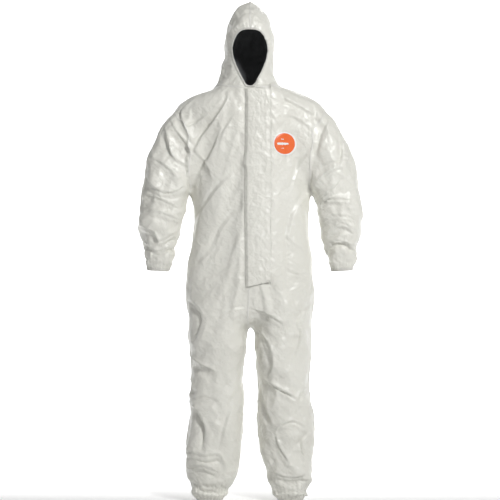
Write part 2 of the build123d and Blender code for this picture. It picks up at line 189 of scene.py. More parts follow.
def slanted_rings(rows, side, grow=0.0):
    """Rings square to the XZ plane from rows of outer edge, inner edge and half depth."""
    ux, uy = superellipse(RING)
    flat = [(*o, *i, d) for o, i, d in rows]
    rings = []
    for ox, oz, ix, iz, depth in smooth_rows(flat, 3):
        width = math.hypot(ox - ix, oz - iz)
        a = (ux * (width / 2 + grow) + width / 2) / width
        x = ix + (ox - ix) * a
        z = iz + (oz - iz) * a
        rings.append(np.stack([side * x, uy * (depth + grow), z], 1))
    return np.array(rings)


def new_mesh(name, verts, faces):
    mesh = bpy.data.meshes.new(name)
    mesh.from_pydata([tuple(v) for v in verts], [], faces)
    mesh.update()
    obj = bpy.data.objects.new(name, mesh)
    bpy.context.scene.collection.objects.link(obj)
    return obj


def points_of(obj):
    co = np.empty(len(obj.data.vertices) * 3, np.float32)
    obj.data.vertices.foreach_get("co", co)
    return co.reshape(-1, 3).astype(float)


def set_points(obj, co):
    obj.data.vertices.foreach_set("co", co.astype(np.float32).ravel())
    obj.data.update()


def normals_of(obj):
    n = np.empty(len(obj.data.vertices) * 3, np.float32)
    obj.data.vertex_normals.foreach_get("vector", n)
    return n.reshape(-1, 3).astype(float)


def apply_modifiers(obj):
    """Replaces the object's mesh by its evaluated one."""
    depsgraph = bpy.context.evaluated_depsgraph_get()
    done = bpy.data.meshes.new_from_object(obj.evaluated_get(depsgraph))
    obj.modifiers.clear()
    old = obj.data
    obj.data = done
    bpy.data.meshes.remove(old)


def join_closed(name, parts, voxel):
    """One closed surface round several closed tubes."""
    verts, faces = [], []
    for v, f in parts:
        base = len(verts)
        verts += v
        faces += [tuple(i + base for i in face) for face in f]
    obj = new_mesh(name, verts, faces)
    bm = bmesh.new()
    bm.from_mesh(obj.data)
    bmesh.ops.recalc_face_normals(bm, faces=bm.faces)
    bm.to_mesh(obj.data)
    bm.free()
    remesh = obj.modifiers.new("remesh", "REMESH")
    remesh.mode = "VOXEL"
    remesh.voxel_size = voxel
    apply_modifiers(obj)
    return obj


def smoothstep(a, b, x):
    t = np.clip((x - a) / (b - a), 0, 1)
    return t * t * (3 - 2 * t)


def relax(obj, mask, rounds, factor=0.5):
    """Smooths the surface where mask is above 0."""
    co = points_of(obj)
    edges = np.empty(len(obj.data.edges) * 2, np.int32)
    obj.data.edges.foreach_get("vertices", edges)
    edges = edges.reshape(-1, 2)
    count = np.bincount(edges.ravel(), minlength=len(co)).astype(float)
    count[count == 0] = 1
    for _ in range(rounds):
        total = np.zeros_like(co)
        np.add.at(total, edges[:, 0], co[edges[:, 1]])
        np.add.at(total, edges[:, 1], co[edges[:, 0]])
        co += (total / count[:, None] - co) * (factor * mask)[:, None]
    set_points(obj, co)


# ------------------------------------------------------------------ the garment's form
def body_rows(grow=0.0):
    return [(z, 0.0, w + grow, f - grow, b + grow) for z, w, f, b in TORSO]


def leg_rows(side):
    return [(z, side * x, w, -d, d) for z, x, w, d in LEG]


parts = [tube(level_rings(body_rows())), tube(level_rings(HOOD))]
for side in (-1, 1):
    parts.append(tube(slanted_rings(SLEEVE, side)))
    parts.append(tube(level_rings(leg_rows(side))))
garment = join_closed("garment", parts, VOXEL)
relax(garment, np.ones(len(garment.data.vertices)), 3)


# ------------------------------------------------------------------ openings
def inside_outline(px, pz, outline):
    """Whether points are inside a closed outline."""
    inside = np.zeros(len(px), bool)
    n = len(outline)
    for i in range(n):
        (x1, z1), (x2, z2) = outline[i], outline[(i + 1) % n]
        if z1 == z2:
            continue
        crosses = (z1 > pz) != (z2 > pz)
        inside ^= crosses & (px < (x2 - x1) * (pz - z1) / (z2 - z1) + x1)
    return inside


def nearest_on_outline(px, pz, outline):
    """The nearest points on a closed outline, and their distance."""
    best = np.full(len(px), 1e9)
    bx, bz = px.copy(), pz.copy()
    n = len(outline)
    for i in range(n):
        a, b = np.array(outline[i]), np.array(outline[(i + 1) % n])
        d = b - a
        t = np.clip(((px - a[0]) * d[0] + (pz - a[1]) * d[1]) / (d @ d + 1e-12), 0, 1)
        qx, qz = a[0] + d[0] * t, a[1] + d[1] * t
        dist = np.hypot(px - qx, pz - qz)
        near = dist < best
        best[near], bx[near], bz[near] = dist[near], qx[near], qz[near]
    return bx, bz, best


half = smooth_rows(FACE, 4)
face_outline = [tuple(p) for p in half] + [(-x, z) for x, z in half[-2:0:-1]]


def open_face(obj):
    """Cuts the face opening and lays the cut edge on its outline."""
    bm = bmesh.new()
    bm.from_mesh(obj.data)
    faces = [f for f in bm.faces if f.calc_center_median().y < 0 and f.calc_center_median().z > 1.5]
    centres = np.array([f.calc_center_median() for f in faces])
    inside = inside_outline(centres[:, 0], centres[:, 2], face_outline)
    bmesh.ops.delete(bm, geom=[f for f, i in zip(faces, inside) if i], context="FACES")
    edge = [v for v in bm.verts if v.is_boundary and v.co.y < 0 and v.co.z > 1.5]
    px, pz = np.array([v.co.x for v in edge]), np.array([v.co.z for v in edge])
    bx, bz, _ = nearest_on_outline(px, pz, face_outline)
    for v, x, z in zip(edge, bx, bz):
        v.co.x, v.co.z = x, z
    bm.to_mesh(obj.data)
    bm.free()


def cut_away(obj, point, normal, wanted):
    """Cuts off what lies beyond a plane, among the faces that wanted() picks."""
    bm = bmesh.new()
    bm.from_mesh(obj.data)
    faces = [f for f in bm.faces if wanted(f.calc_center_median())]
    geom = faces + list({e for f in faces for e in f.edges}) + list({v for f in faces for v in f.verts})
    bmesh.ops.bisect_plane(
        bm, geom=geom, dist=1e-4, plane_co=point, plane_no=normal, clear_outer=True
    )
    bm.to_mesh(obj.data)
    bm.free()


open_face(garment)
for side in (-1, 1):
    cut_away(
        garment, (side * 0.347, 0, 0.8665), (side * 0.0555, 0, -0.9985),
        lambda c, side=side: c.x * side > 0.28 and c.z < 0.92,
    )
cut_away(garment, (0, 0, 0.003), (0, 0, -1), lambda c: c.z < 0.05)

# ------------------------------------------------------------------ folds laid one by one
# Each fold: its line over the front in millimetres (x, z), its height and its width.
# A fold is a ridge beside a valley. The valley lies to the right of the line's direction.
FOLDS = [
    # chest and shoulder on the wearer's right
    ([(-87, 1539), (-92, 1500), (-133, 1434), (-185, 1365), (-220, 1295)], 9, 17),
    ([(-110, 1405), (-133, 1335), (-185, 1243), (-214, 1180)], 6, 20),
    ([(-208, 1515), (-258, 1469), (-252, 1417), (-220, 1350)], 7, 16),
    ([(-156, 1454), (-208, 1417), (-243, 1402)], 4, 10),
    ([(-60, 1450), (-100, 1385), (-120, 1320)], 4, 14),
    ([(-225, 1330), (-170, 1270), (-140, 1200)], 4, 18),
    ([(-30, 1250), (-110, 1190), (-190, 1080), (-215, 1000)], 5, 26),
    ([(-40, 1100), (-100, 1040), (-150, 940), (-215, 880)], 4, 28),
    ([(-60, 900), (-130, 850), (-215, 830)], 3, 18),
    # chest on the wearer's left
    ([(60, 1535), (150, 1497), (241, 1446)], 6, 16),
    ([(30, 1510), (80, 1450), (110, 1400)], 4, 12),
    ([(100, 1440), (160, 1440), (225, 1400)], 3, 14),
    ([(240, 1330), (180, 1260), (150, 1150)], 4, 22),
    ([(225, 1180), (160, 1080), (130, 960)], 4, 26),
    ([(120, 1010), (170, 960), (225, 940)], 3, 20),
    ([(110, 900), (160, 860), (235, 850)], 4, 18),
    # sleeve on the wearer's right
    ([(-303, 1440), (-283, 1399), (-236, 1335), (-222, 1289)], 8, 14),
    ([(-322, 1405), (-295, 1300), (-235, 1255)], 7, 18),
    ([(-385, 1301), (-312, 1254), (-262, 1200)], 6, 18),
    ([(-393, 1231), (-364, 1179), (-300, 1158), (-240, 1185)], 8, 15),
    ([(-410, 1152), (-352, 1140), (-262, 1098)], 7, 13),
    ([(-416, 1084), (-360, 1090), (-268, 1060)], 5, 12),
    ([(-416, 1034), (-364, 1011), (-341, 976), (-277, 1012)], 8, 14),
    ([(-405, 975), (-350, 940), (-290, 960)], 5, 11),
    # sleeve on the wearer's left
    ([(300, 1440), (268, 1370), (250, 1290)], 6, 14),
    ([(330, 1400), (345, 1320), (335, 1250)], 6, 18),
    ([(247, 1244), (285, 1266), (374, 1289)], 6, 15),
    ([(236, 1180), (293, 1231), (345, 1254)], 8, 15),
    ([(246, 1127), (316, 1179), (340, 1215)], 7, 13),
    ([(262, 1098), (290, 1135), (380, 1132)], 8, 13),
    ([(272, 1050), (320, 1075), (400, 1060)], 5, 12),
    ([(285, 1005), (339, 1045), (395, 1020)], 5, 12),
    ([(291, 960), (327, 980), (402, 953)], 7, 12),
    # seat and leg on the wearer's right
    ([(-230, 760), (-180, 700), (-205, 610)], 7, 20),
    ([(-10, 730), (-70, 722), (-120, 690)], 5, 14),
    ([(-243, 555), (-197, 522), (-130, 494)], 11, 17),
    ([(-240, 470), (-215, 430), (-240, 390)], 7, 16),
    ([(-45, 470), (-90, 430), (-169, 389)], 5, 18),
    ([(-119, 372), (-172, 389), (-246, 372)], 8, 12),
    ([(-246, 365), (-202, 345), (-169, 278), (-178, 205)], 9, 18),
    ([(-62, 380), (-90, 300), (-110, 220)], 4, 20),
    ([(-257, 198), (-175, 178), (-119, 182), (-95, 145)], 10, 14),
    ([(-250, 120), (-180, 140), (-110, 110)], 6, 12),
    # seat and leg on the wearer's left
    ([(4, 727), (74, 699), (125, 665)], 6, 16),
    ([(6, 660), (63, 599), (82, 522), (60, 462)], 7, 20),
    ([(226, 738), (178, 677), (200, 620)], 7, 18),
    ([(190, 683), (184, 599), (151, 522)], 5, 14),
    ([(48, 456), (118, 420), (182, 386)], 12, 17),
    ([(182, 386), (190, 410), (226, 420)], 7, 12),
    ([(46, 440), (50, 377), (82, 289)], 6, 18),
    ([(92, 262), (120, 292), (165, 305), (216, 275)], 8, 15),
    ([(92, 262), (107, 211), (148, 145)], 8, 15),
    ([(232, 270), (190, 220), (232, 150)], 6, 16),
    ([(75, 120), (140, 95), (215, 105)], 7, 12),
]
DENTS = [
    # broad hollows over the front: x, z, half width, half height, depth, all in millimetres
    (-165, 1105, 55, 130, 9),
    (-205, 1440, 40, 50, 7),
    (-120, 1010, 70, 60, 5),
    (-190, 290, 45, 75, 8),
    (45, 640, 40, 90, 8),
    (185, 700, 30, 60, 6),
    (60, 350, 30, 90, 7),
    (150, 1130, 50, 120, 5),
    (-310, 1210, 30, 60, 6),
    (330, 1150, 30, 50, 6),
]


def along(px, pz, line):
    """Signed distance to a line (positive on its left), and how far along it, 0 to 1."""
    line = smooth_rows(line, 5)
    steps = np.linalg.norm(np.diff(line, axis=0), axis=1)
    total, walked = steps.sum(), 0.0
    best = np.full(len(px), 1e9)
    signed, share = np.zeros(len(px)), np.zeros(len(px))
    for a, b, length in zip(line[:-1], line[1:], steps):
        d = b - a
        rx, rz = px - a[0], pz - a[1]
        t = np.clip((rx * d[0] + rz * d[1]) / (d @ d), 0, 1)
        dist = np.hypot(rx - d[0] * t, rz - d[1] * t)
        near = dist < best
        best[near] = dist[near]
        side_of = np.sign(d[0] * rz - d[1] * rx)
        signed[near] = (dist * side_of)[near]
        share[near] = ((walked + t * length) / total)[near]
        walked += length
    return signed, share


def fold_height(px, pz, line, height, width):
    """The height of one fold: a sharp ridge, with a valley on the right of its line."""
    s, t = along(px, pz, line)
    fade = np.sin(np.pi * np.clip(t, 0.001, 0.999)) ** 0.6
    ends = np.exp(-((np.maximum(np.abs(s) - 3 * width, 0)) / width) ** 2)
    ridge = np.exp(-np.abs(s - 0.55 * width) / (0.75 * width))
    valley = np.exp(-np.abs(s + 0.55 * width) / (0.75 * width))
    return height * fade * ends * (ridge - 1.15 * valley)


def lay_folds(obj, share=1.0, narrow=1.0):
    """Lays every fold, or a share of its height on a narrower line, to sharpen it."""
    co, n = points_of(obj), normals_of(obj)
    px, pz = co[:, 0] * 1000, co[:, 2] * 1000
    front = smoothstep(-0.30, 0.35, -n[:, 1])
    rear = smoothstep(0.30, 0.7, n[:, 1])
    move = np.zeros(len(co))
    for line, height, width in FOLDS:
        line = np.array(line, float)
        height, width = height * share, width * narrow
        move += front * fold_height(px, pz, line, height, width)
        # the back has folds of the same kind: these are the front's, turned over
        move += rear * 0.8 * fold_height(-px, pz + 22, line, height, width)
    for x, z, hw, hh, depth in DENTS if narrow == 1 else []:
        r = ((px - x) / hw) ** 2 + ((pz - z) / hh) ** 2
        move -= front * 1.5 * depth * np.exp(-r)
        r = ((px + x) / hw) ** 2 + ((pz - z) / hh) ** 2
        move -= rear * depth * np.exp(-r)
    co += n * (move / 1000)[:, None]
    set_points(obj, co)


lay_folds(garment)

# ------------------------------------------------------------------ cloth simulation
FRAMES = 20


def body_form():
    """A slimmer form inside the suit, which the cloth rests on."""
    rows = []
    for z, w, f, b in TORSO:
        slim = 0.004 + 0.030 * float(smoothstep(1.50, 1.38, z)) + 0.01 * float(smoothstep(1.25, 1.1, z))
        rows.append((z, 0.0, w - slim, f + slim * 0.7, b - slim * 0.7))
    made = [tube(level_rings(rows))]
    made.append(tube(level_rings([(z, x, w - 0.012, f + 0.012, b - 0.012) for z, x, w, f, b in HOOD[:-1]])))
    for side in (-1, 1):
        made.append(tube(slanted_rings(SLEEVE[:-2], side, -0.022)))
        made.append(tube(level_rings([(z, side * x, w - 0.026, -d + 0.03, d - 0.03) for z, x, w, d in LEG[:-4]])))
    return join_closed("form", made, 0.015)


def simulate(obj):
    form = body_form()
    form.modifiers.new("collision", "COLLISION")
    form.collision.thickness_outer = 0.003
    form.collision.cloth_friction = 4
    co = points_of(obj)
    x, y, z = np.abs(co[:, 0]), co[:, 1], co[:, 2]
    pin = np.zeros(len(co))
    pin = np.maximum(pin, 1 - smoothstep(0.012, 0.035, z))
    pin = np.maximum(pin, np.where(x > 0.29, 1 - smoothstep(0.876, 0.896, z), 0))
    _, _, near = nearest_on_outline(co[:, 0], co[:, 2], face_outline)
    pin = np.maximum(pin, np.where((y < 0) & (z > 1.54), 1 - smoothstep(0.006, 0.03, near), 0))
    front = (y < -0.05) & (z < 1.56) & (z > 0.79)
    pin = np.maximum(pin, np.where(front, 0.3 * (1 - smoothstep(0.012, 0.03, x)), 0))
    pin = np.maximum(pin, 0.02)
    group = obj.vertex_groups.new(name="pin")
    for i in np.nonzero(pin > 0.01)[0]:
        group.add([int(i)], float(pin[i]), "REPLACE")
    cloth = obj.modifiers.new("cloth", "CLOTH")
    st = cloth.settings
    st.quality = 5
    st.mass = 0.2
    st.tension_stiffness = 25
    st.compression_stiffness = 25
    st.shear_stiffness = 12
    st.bending_stiffness = 0.4
    st.effector_weights.gravity = 0.10
    st.tension_damping = st.compression_damping = 5
    st.bending_damping = 0.5
    st.shrink_min = -0.05
    st.vertex_group_mass = "pin"
    st.pin_stiffness = 1.0
    st.air_damping = 1.0
    st.use_pressure = True
    st.uniform_pressure_force = 0.25
    cloth.collision_settings.use_collision = True
    cloth.collision_settings.collision_quality = 2
    cloth.collision_settings.distance_min = 0.003
    scene = bpy.context.scene
    scene.frame_start, scene.frame_end = 1, FRAMES
    cloth.point_cache.frame_start, cloth.point_cache.frame_end = 1, FRAMES
    for f in range(1, FRAMES + 1):
        scene.frame_set(f)
    apply_modifiers(obj)
    scene.frame_set(1)
    bpy.data.objects.remove(form)
    obj.vertex_groups.clear()


rest = points_of(garment)
simulate(garment)
CAP = 0.018  # furthest that the cloth moves from its form
move = points_of(garment) - rest
far = np.linalg.norm(move, axis=1, keepdims=True)
set_points(garment, rest + move * (CAP * np.tanh(far / CAP) / np.maximum(far, 1e-9)))


# ------------------------------------------------------------------ materials
def material(name, colour, roughness, coat=0.0, sheen=0.0):
    """A new material with a Principled shader: material, node tree and shader."""
    m = bpy.data.materials.new(name)
    m.use_nodes = True
    shader = m.node_tree.nodes["Principled BSDF"]
    shader.inputs["Base Color"].default_value = (*colour, 1)
    shader.inputs["Roughness"].default_value = roughness
    shader.inputs["Coat Weight"].default_value = coat
    shader.inputs["Coat Roughness"].default_value = 0.18
    shader.inputs["Sheen Weight"].default_value = sheen
    return m, m.node_tree, shader


def texture(tree, kind, scale, **settings):
    """A 3-D texture in object space."""
    place = tree.nodes.new("ShaderNodeTexCoord")
    node = tree.nodes.new(kind)
    tree.links.new(place.outputs["Object"], node.inputs["Vector"])
    node.inputs["Scale"].default_value = scale
    for key, value in settings.items():
        if hasattr(node, key):
            setattr(node, key, value)
        else:
            node.inputs[key.replace("_", " ").title()].default_value = value
    return node


def span(tree, value, low, high):
    """Maps a 0 to 1 value to a range."""
    node = tree.nodes.new("ShaderNodeMapRange")
    tree.links.new(value, node.inputs["Value"])
    node.inputs["To Min"].default_value = low
    node.inputs["To Max"].default_value = high
    return node.outputs["Result"]


def weigh(tree, *terms):
    """A weighted sum of values."""
    total = None
    for value, weight in terms:
        node = tree.nodes.new("ShaderNodeMath")
        node.operation = "MULTIPLY_ADD"
        tree.links.new(value, node.inputs[0])
        node.inputs[1].default_value = weight
        if total is None:
            node.inputs[2].default_value = 0
        else:
            tree.links.new(total, node.inputs[2])
        total = node.outputs[0]
    return total


def bump(tree, shader, height, distance, strength=1.0):
    node = tree.nodes.new("ShaderNodeBump")
    node.inputs["Distance"].default_value = distance
    node.inputs["Strength"].default_value = strength
    tree.links.new(height, node.inputs["Height"])
    tree.links.new(node.outputs["Normal"], shader.inputs["Normal"])


def two_tone(tree, shader, value, dark, light):
    """Base colour between two tones by a 0 to 1 value."""
    node = tree.nodes.new("ShaderNodeMix")
    node.data_type = "RGBA"
    node.inputs[6].default_value = (*dark, 1)
    node.inputs[7].default_value = (*light, 1)
    tree.links.new(value, node.inputs[0])
    tree.links.new(node.outputs[2], shader.inputs["Base Color"])


def laminate_material():
    """Off-white film over nonwoven: creased in small planes, satin, with a faint grain."""
    m, tree, shader = material("laminate", (0.78, 0.775, 0.735), 0.34, coat=0.12)
    warp = texture(tree, "ShaderNodeTexNoise", 9, Detail=2.0)
    place = tree.nodes.new("ShaderNodeTexCoord")
    bend = tree.nodes.new("ShaderNodeVectorMath")
    bend.operation = "MULTIPLY_ADD"
    tree.links.new(warp.outputs["Color"], bend.inputs[0])
    bend.inputs[1].default_value = (0.05, 0.05, 0.05)
    tree.links.new(place.outputs["Object"], bend.inputs[2])
    turn = tree.nodes.new("ShaderNodeMapping")
    turn.inputs["Rotation"].default_value = (0.5, 0.7, 0.2)
    tree.links.new(bend.outputs[0], turn.inputs["Vector"])
    planes = []
    for scale in (19, 43, 96):
        cells = tree.nodes.new("ShaderNodeTexVoronoi")
        cells.feature, cells.distance = "F1", "MANHATTAN"
        cells.inputs["Scale"].default_value = scale
        tree.links.new(turn.outputs[0], cells.inputs["Vector"])
        planes.append(cells.outputs["Distance"])
    creases = texture(tree, "ShaderNodeTexNoise", 16, noise_type="RIDGED_MULTIFRACTAL", Detail=4.0)
    grain = texture(tree, "ShaderNodeTexNoise", 1400, Detail=2.0)
    height = weigh(tree, (planes[0], 0.22), (planes[1], 0.22), (planes[2], 0.08),
                   (creases.outputs[0], 0.12), (grain.outputs[0], 0.006))
    bump(tree, shader, height, 0.010, 0.7)
    stain = texture(tree, "ShaderNodeTexNoise", 5, Detail=5.0)
    two_tone(tree, shader, stain.outputs[0], (0.72, 0.71, 0.645), (0.82, 0.815, 0.755))
    rough = span(tree, planes[1], 0.26, 0.44)
    tree.links.new(rough, shader.inputs["Roughness"])
    return m


def seam_tape_material():
    """Satin tape with two rows of faint stitch marks, which follow the tape's own UVs."""
    m, tree, shader = material("seam_tape", (0.78, 0.775, 0.73), 0.40)
    place = tree.nodes.new("ShaderNodeTexCoord")
    split_uv = tree.nodes.new("ShaderNodeSeparateXYZ")
    tree.links.new(place.outputs["UV"], split_uv.inputs[0])
    wave = tree.nodes.new("ShaderNodeMath")
    wave.operation = "SINE"
    turns = tree.nodes.new("ShaderNodeMath")
    turns.operation = "MULTIPLY"
    turns.inputs[1].default_value = 2 * math.pi / 0.0045
    tree.links.new(split_uv.outputs[0], turns.inputs[0])
    tree.links.new(turns.outputs[0], wave.inputs[0])
    puckers = texture(tree, "ShaderNodeTexNoise", 130, Detail=2.0)
    height = weigh(tree, (wave.outputs[0], 0.25), (puckers.outputs[0], 1.6))
    bump(tree, shader, height, 0.0008, 0.8)
    two_tone(tree, shader, span(tree, wave.outputs[0], 0.0, 1.0), (0.72, 0.71, 0.66), (0.82, 0.815, 0.77))
    return m


def fabric_material(name, colour, roughness, scale, height):
    """A woven or knitted trim: two crossed bands of bump."""
    m, tree, shader = material(name, colour, roughness, sheen=0.15)
    across = texture(tree, "ShaderNodeTexWave", scale, bands_direction="X", Distortion=0.6)
    down = texture(tree, "ShaderNodeTexWave", scale, bands_direction="Z", Distortion=0.6)
    fibres = texture(tree, "ShaderNodeTexNoise", scale * 2.2, Detail=3.0)
    total = weigh(tree, (across.outputs[1], 0.4), (down.outputs[1], 0.4), (fibres.outputs[0], 0.5))
    bump(tree, shader, total, height)
    return m


def plastic_material(name, colour, roughness, coat=0.0):
    """Moulded plastic or printed film, with slightly uneven gloss."""
    m, tree, shader = material(name, colour, roughness, coat=coat)
    uneven = texture(tree, "ShaderNodeTexNoise", 60, Detail=4.0)
    tree.links.new(span(tree, uneven.outputs[0], roughness * 0.75, roughness * 1.3), shader.inputs["Roughness"])
    bump(tree, shader, uneven.outputs[0], 0.0006, 0.6)
    return m


laminate = laminate_material()
seam_tape = seam_tape_material()
elastic = fabric_material("elastic", (0.74, 0.73, 0.68), 0.55, 420, 0.0006)
zip_tape = fabric_material("zip_tape", (0.74, 0.74, 0.70), 0.7, 900, 0.0003)
label = fabric_material("label", (0.83, 0.83, 0.83), 0.6, 1200, 0.0002)
# painted shade: a dark fabric for the hood's inside, which is really as pale as the suit
hood_shade_fabric = fabric_material("hood_shade_fabric", (0.16, 0.163, 0.17), 0.7, 700, 0.0004)
thread = fabric_material("thread", (0.60, 0.59, 0.54), 0.6, 2500, 0.0001)
zip_plastic = plastic_material("zip_plastic", (0.76, 0.76, 0.72), 0.38)
adhesive = plastic_material("adhesive", (0.86, 0.83, 0.70), 0.16, coat=0.3)
patch_orange = plastic_material("patch_orange", (0.86, 0.155, 0.035), 0.34, coat=0.15)
patch_white = plastic_material("patch_white", (0.86, 0.86, 0.85), 0.36, coat=0.15)


# ------------------------------------------------------------------ the zip's place
def form_front(x, z):
    """Depth of the unfolded front at x and z, as the frame's panels have it."""
    rows = np.array(TORSO)[::-1]
    w = np.interp(z, rows[:, 0], rows[:, 1])
    f = np.interp(z, rows[:, 0], rows[:, 2])
    b = np.interp(z, rows[:, 0], rows[:, 3])
    share = np.clip(1 - np.abs(x / w) ** SQUARENESS, 0, 1) ** (1 / SQUARENESS)
    return (f + b) / 2 - (b - f) / 2 * share


def settle_front(obj):
    """Keeps the cloth flat where the zip lies on it, and low under the storm flap."""
    co = points_of(obj)
    x, y, z = co.T
    front = (y < -0.04) & (z > ZIP_BOTTOM - 0.06) & (z < NECK_Z + 0.01)
    flat = form_front(x, z)
    near = 1 - smoothstep(0.020, 0.034, np.abs(x))
    ends = smoothstep(ZIP_BOTTOM - 0.05, ZIP_BOTTOM - 0.01, z)
    y = np.where(front, y + (flat - y) * near * ends, y)
    under = smoothstep(-0.040, -0.022, x) * (1 - smoothstep(FLAP_HINGE - 0.004, FLAP_HINGE, x)) * ends
    lift = flat - y
    low = 0.0012 * np.tanh(lift / 0.0012)
    y = np.where(front & (lift > 0), flat - (lift + (low - lift) * under), y)
    # beside the flap's sewn edge the cloth stands as high as the flap, and falls gently away
    beside = front & (x > FLAP_HINGE - 0.0002) & (z > ZIP_BOTTOM - 0.012)
    fall = 1 - smoothstep(FLAP_HINGE + 0.006, FLAP_HINGE + 0.062, x)
    low_end = smoothstep(ZIP_BOTTOM - 0.012, ZIP_BOTTOM + 0.03, z)
    raised = np.minimum(y, flat - FLAP_RISE * fall * low_end)
    y = np.where(beside, y + (raised - y) * smoothstep(0, 0.3, fall), y)
    co[:, 1] = y
    set_points(obj, co)


def cut_zip_slot(obj):
    """A slot behind the zip, so that the slider's web can pass through the cloth."""
    bm = bmesh.new()
    bm.from_mesh(obj.data)

    def picked(reach):
        return [
            f for f in bm.faces
            if abs(f.calc_center_median().x) < reach
            and f.calc_center_median().y < -0.04
            and ZIP_BOTTOM - 0.03 < f.calc_center_median().z < ZIP_TOP + 0.012
        ]

    for point, normal in (
        ((ZIP_SLOT, 0, 0), (1, 0, 0)), ((-ZIP_SLOT, 0, 0), (1, 0, 0)),
        ((0, 0, ZIP_BOTTOM), (0, 0, 1)), ((0, 0, ZIP_TOP), (0, 0, 1)),
    ):
        faces = picked(0.03)
        geom = faces + list({e for f in faces for e in f.edges}) + list({v for f in faces for v in f.verts})
        bmesh.ops.bisect_plane(bm, geom=geom, dist=1e-5, plane_co=point, plane_no=normal)
    gone = [
        f for f in picked(ZIP_SLOT)
        if ZIP_BOTTOM < f.calc_center_median().z < ZIP_TOP
    ]
    bmesh.ops.delete(bm, geom=gone, context="FACES")
    bm.to_mesh(obj.data)
    bm.free()


# Crumples of the stiff film: cell size, height
CRUMPLES = [(0.120, 0.0080), (0.055, 0.0032), (0.026, 0.0013)]
LIMB_PLANES = (0.200, 0.0200)  # the broad flat planes of the sleeves and legs
CRUMPLE_TURN = Matrix.Rotation(0.6, 3, "Y") @ Matrix.Rotation(0.45, 3, "X")
GATHER_D = 0.0016  # depth of the small gathers beside the elastics


def crumple_film(obj):
    """Small flat planes that meet in sharp creases, as in film, stronger in some places."""
    co, n = points_of(obj), normals_of(obj)
    x, y, z = co.T
    warp = np.array([noise.noise_vector(Vector(p) * 7.0) for p in co]) * 0.035
    where = np.array([noise.noise(Vector(p) * 3.1 + Vector((4, 1, 2))) for p in co])
    strength = np.clip(0.75 + 1.1 * where, 0.25, 1.4)
    bends = np.exp(-((z - 0.36) / 0.16) ** 2) + np.exp(-((z - 0.12) / 0.08) ** 2)
    bends += np.where(np.abs(x) > 0.24, np.exp(-((z - 1.10) / 0.14) ** 2), 0)
    strength *= 1 + 0.5 * bends
    strength *= 1 + 0.25 * smoothstep(1.54, 1.60, z)
    trunk = (y < 0) & (np.abs(x) < 0.225) & (z > 0.72)
    strength *= np.where(trunk, 1 - 0.5 * smoothstep(1.50, 1.30, z), 1)
    chest = np.hypot(x - 0.129, z - 1.340)
    strength *= np.where(y < 0, smoothstep(0.045, 0.085, chest), 1)
    _, _, rim = nearest_on_outline(x, z, face_outline)
    strength *= np.where((y < 0) & (z > 1.54), smoothstep(0.004, 0.05, rim), 1)
    strength *= smoothstep(0.004, 0.03, z)
    move = np.zeros(len(co))
    turned = (co + warp) @ np.array(CRUMPLE_TURN).T
    for size, height in CRUMPLES:
        points = turned / size
        near = [noise.voronoi(Vector(p), distance_metric="MANHATTAN")[0][0] for p in points]
        move += height * (np.array(near) - 0.75)
    move *= strength
    size, height = LIMB_PLANES
    near = [noise.voronoi(Vector(p), distance_metric="MANHATTAN")[0][0] for p in turned / size]
    limb = np.where(np.abs(x) > 0.235, smoothstep(0.90, 1.12, z) * smoothstep(1.45, 1.36, z), 0)
    limb = np.maximum(limb, smoothstep(0.05, 0.12, z) * smoothstep(0.70, 0.60, z))
    move += height * (np.array(near) - 0.85) * limb
    around = np.arctan2(z - 1.665, x)
    wave = np.sin(around * 46 + 5 * np.sin(around * 3)) + 0.5 * np.sin(around * 79 + 1)
    beside = np.where((y < 0) & (z > 1.54), np.exp(-rim / 0.024), 0)
    move += GATHER_D * wave * beside
    for side in (-1, 1):
        arm = np.arctan2(y, x - side * 0.344)
        wave = np.sin(arm * 26 + 2 * np.sin(arm * 2)) + 0.5 * np.sin(arm * 41 + z * 60)
        move += np.where(x * side > 0.27, GATHER_D * 1.5 * wave * np.exp(-(z - 0.868) / 0.026), 0)
        leg = np.arctan2(y, x - side * 0.152)
        wave = np.sin(leg * 30 + 2 * np.sin(leg * 2)) + 0.5 * np.sin(leg * 47 + z * 50)
        move += np.where(x * side > 0, GATHER_D * 1.7 * wave * np.exp(-z / 0.034), 0)
    set_points(obj, co + n * move[:, None])


def cut_beside_flap(obj):
    """Edges along the flap's sewn edge, so that the cloth can step up to it there."""
    bm = bmesh.new()
    bm.from_mesh(obj.data)
    for at in (FLAP_HINGE - 0.0008, FLAP_HINGE):
        faces = [
            f for f in bm.faces
            if abs(f.calc_center_median().x - at) < 0.006 and f.calc_center_median().y < -0.04
            and ZIP_BOTTOM - 0.03 < f.calc_center_median().z < NECK_Z
        ]
        geom = faces + list({e for f in faces for e in f.edges}) + list({v for f in faces for v in f.verts})
        bmesh.ops.bisect_plane(bm, geom=geom, dist=1e-5, plane_co=(at, 0, 0), plane_no=(1, 0, 0))
    bm.to_mesh(obj.data)
    bm.free()


settle_front(garment)
sub = garment.modifiers.new("sub", "SUBSURF")
sub.levels = sub.render_levels = 1
apply_modifiers(garment)
crumple_film(garment)
lay_folds(garment, share=1.0, narrow=0.5)
cut_beside_flap(garment)
settle_front(garment)
cut_zip_slot(garment)
for p in garment.data.polygons:
    p.use_smooth = True


# ------------------------------------------------------------------ seams
def surface_of(obj):
    """A search tree over the object's faces, and a smooth normal at any of its points."""
    obj.data.calc_loop_triangles()
    co = points_of(obj)
    tris = [tuple(t.vertices) for t in obj.data.loop_triangles]
    tree = BVHTree.FromPolygons([tuple(c) for c in co], tris)
    normals = normals_of(obj)

    def near(point):
        hit, _, index, _ = tree.find_nearest(Vector(point))
        a, b, c = tris[index]
        n = normals[a] + normals[b] + normals[c]
        return np.array(hit), n / max(np.linalg.norm(n), 1e-9)

    return near


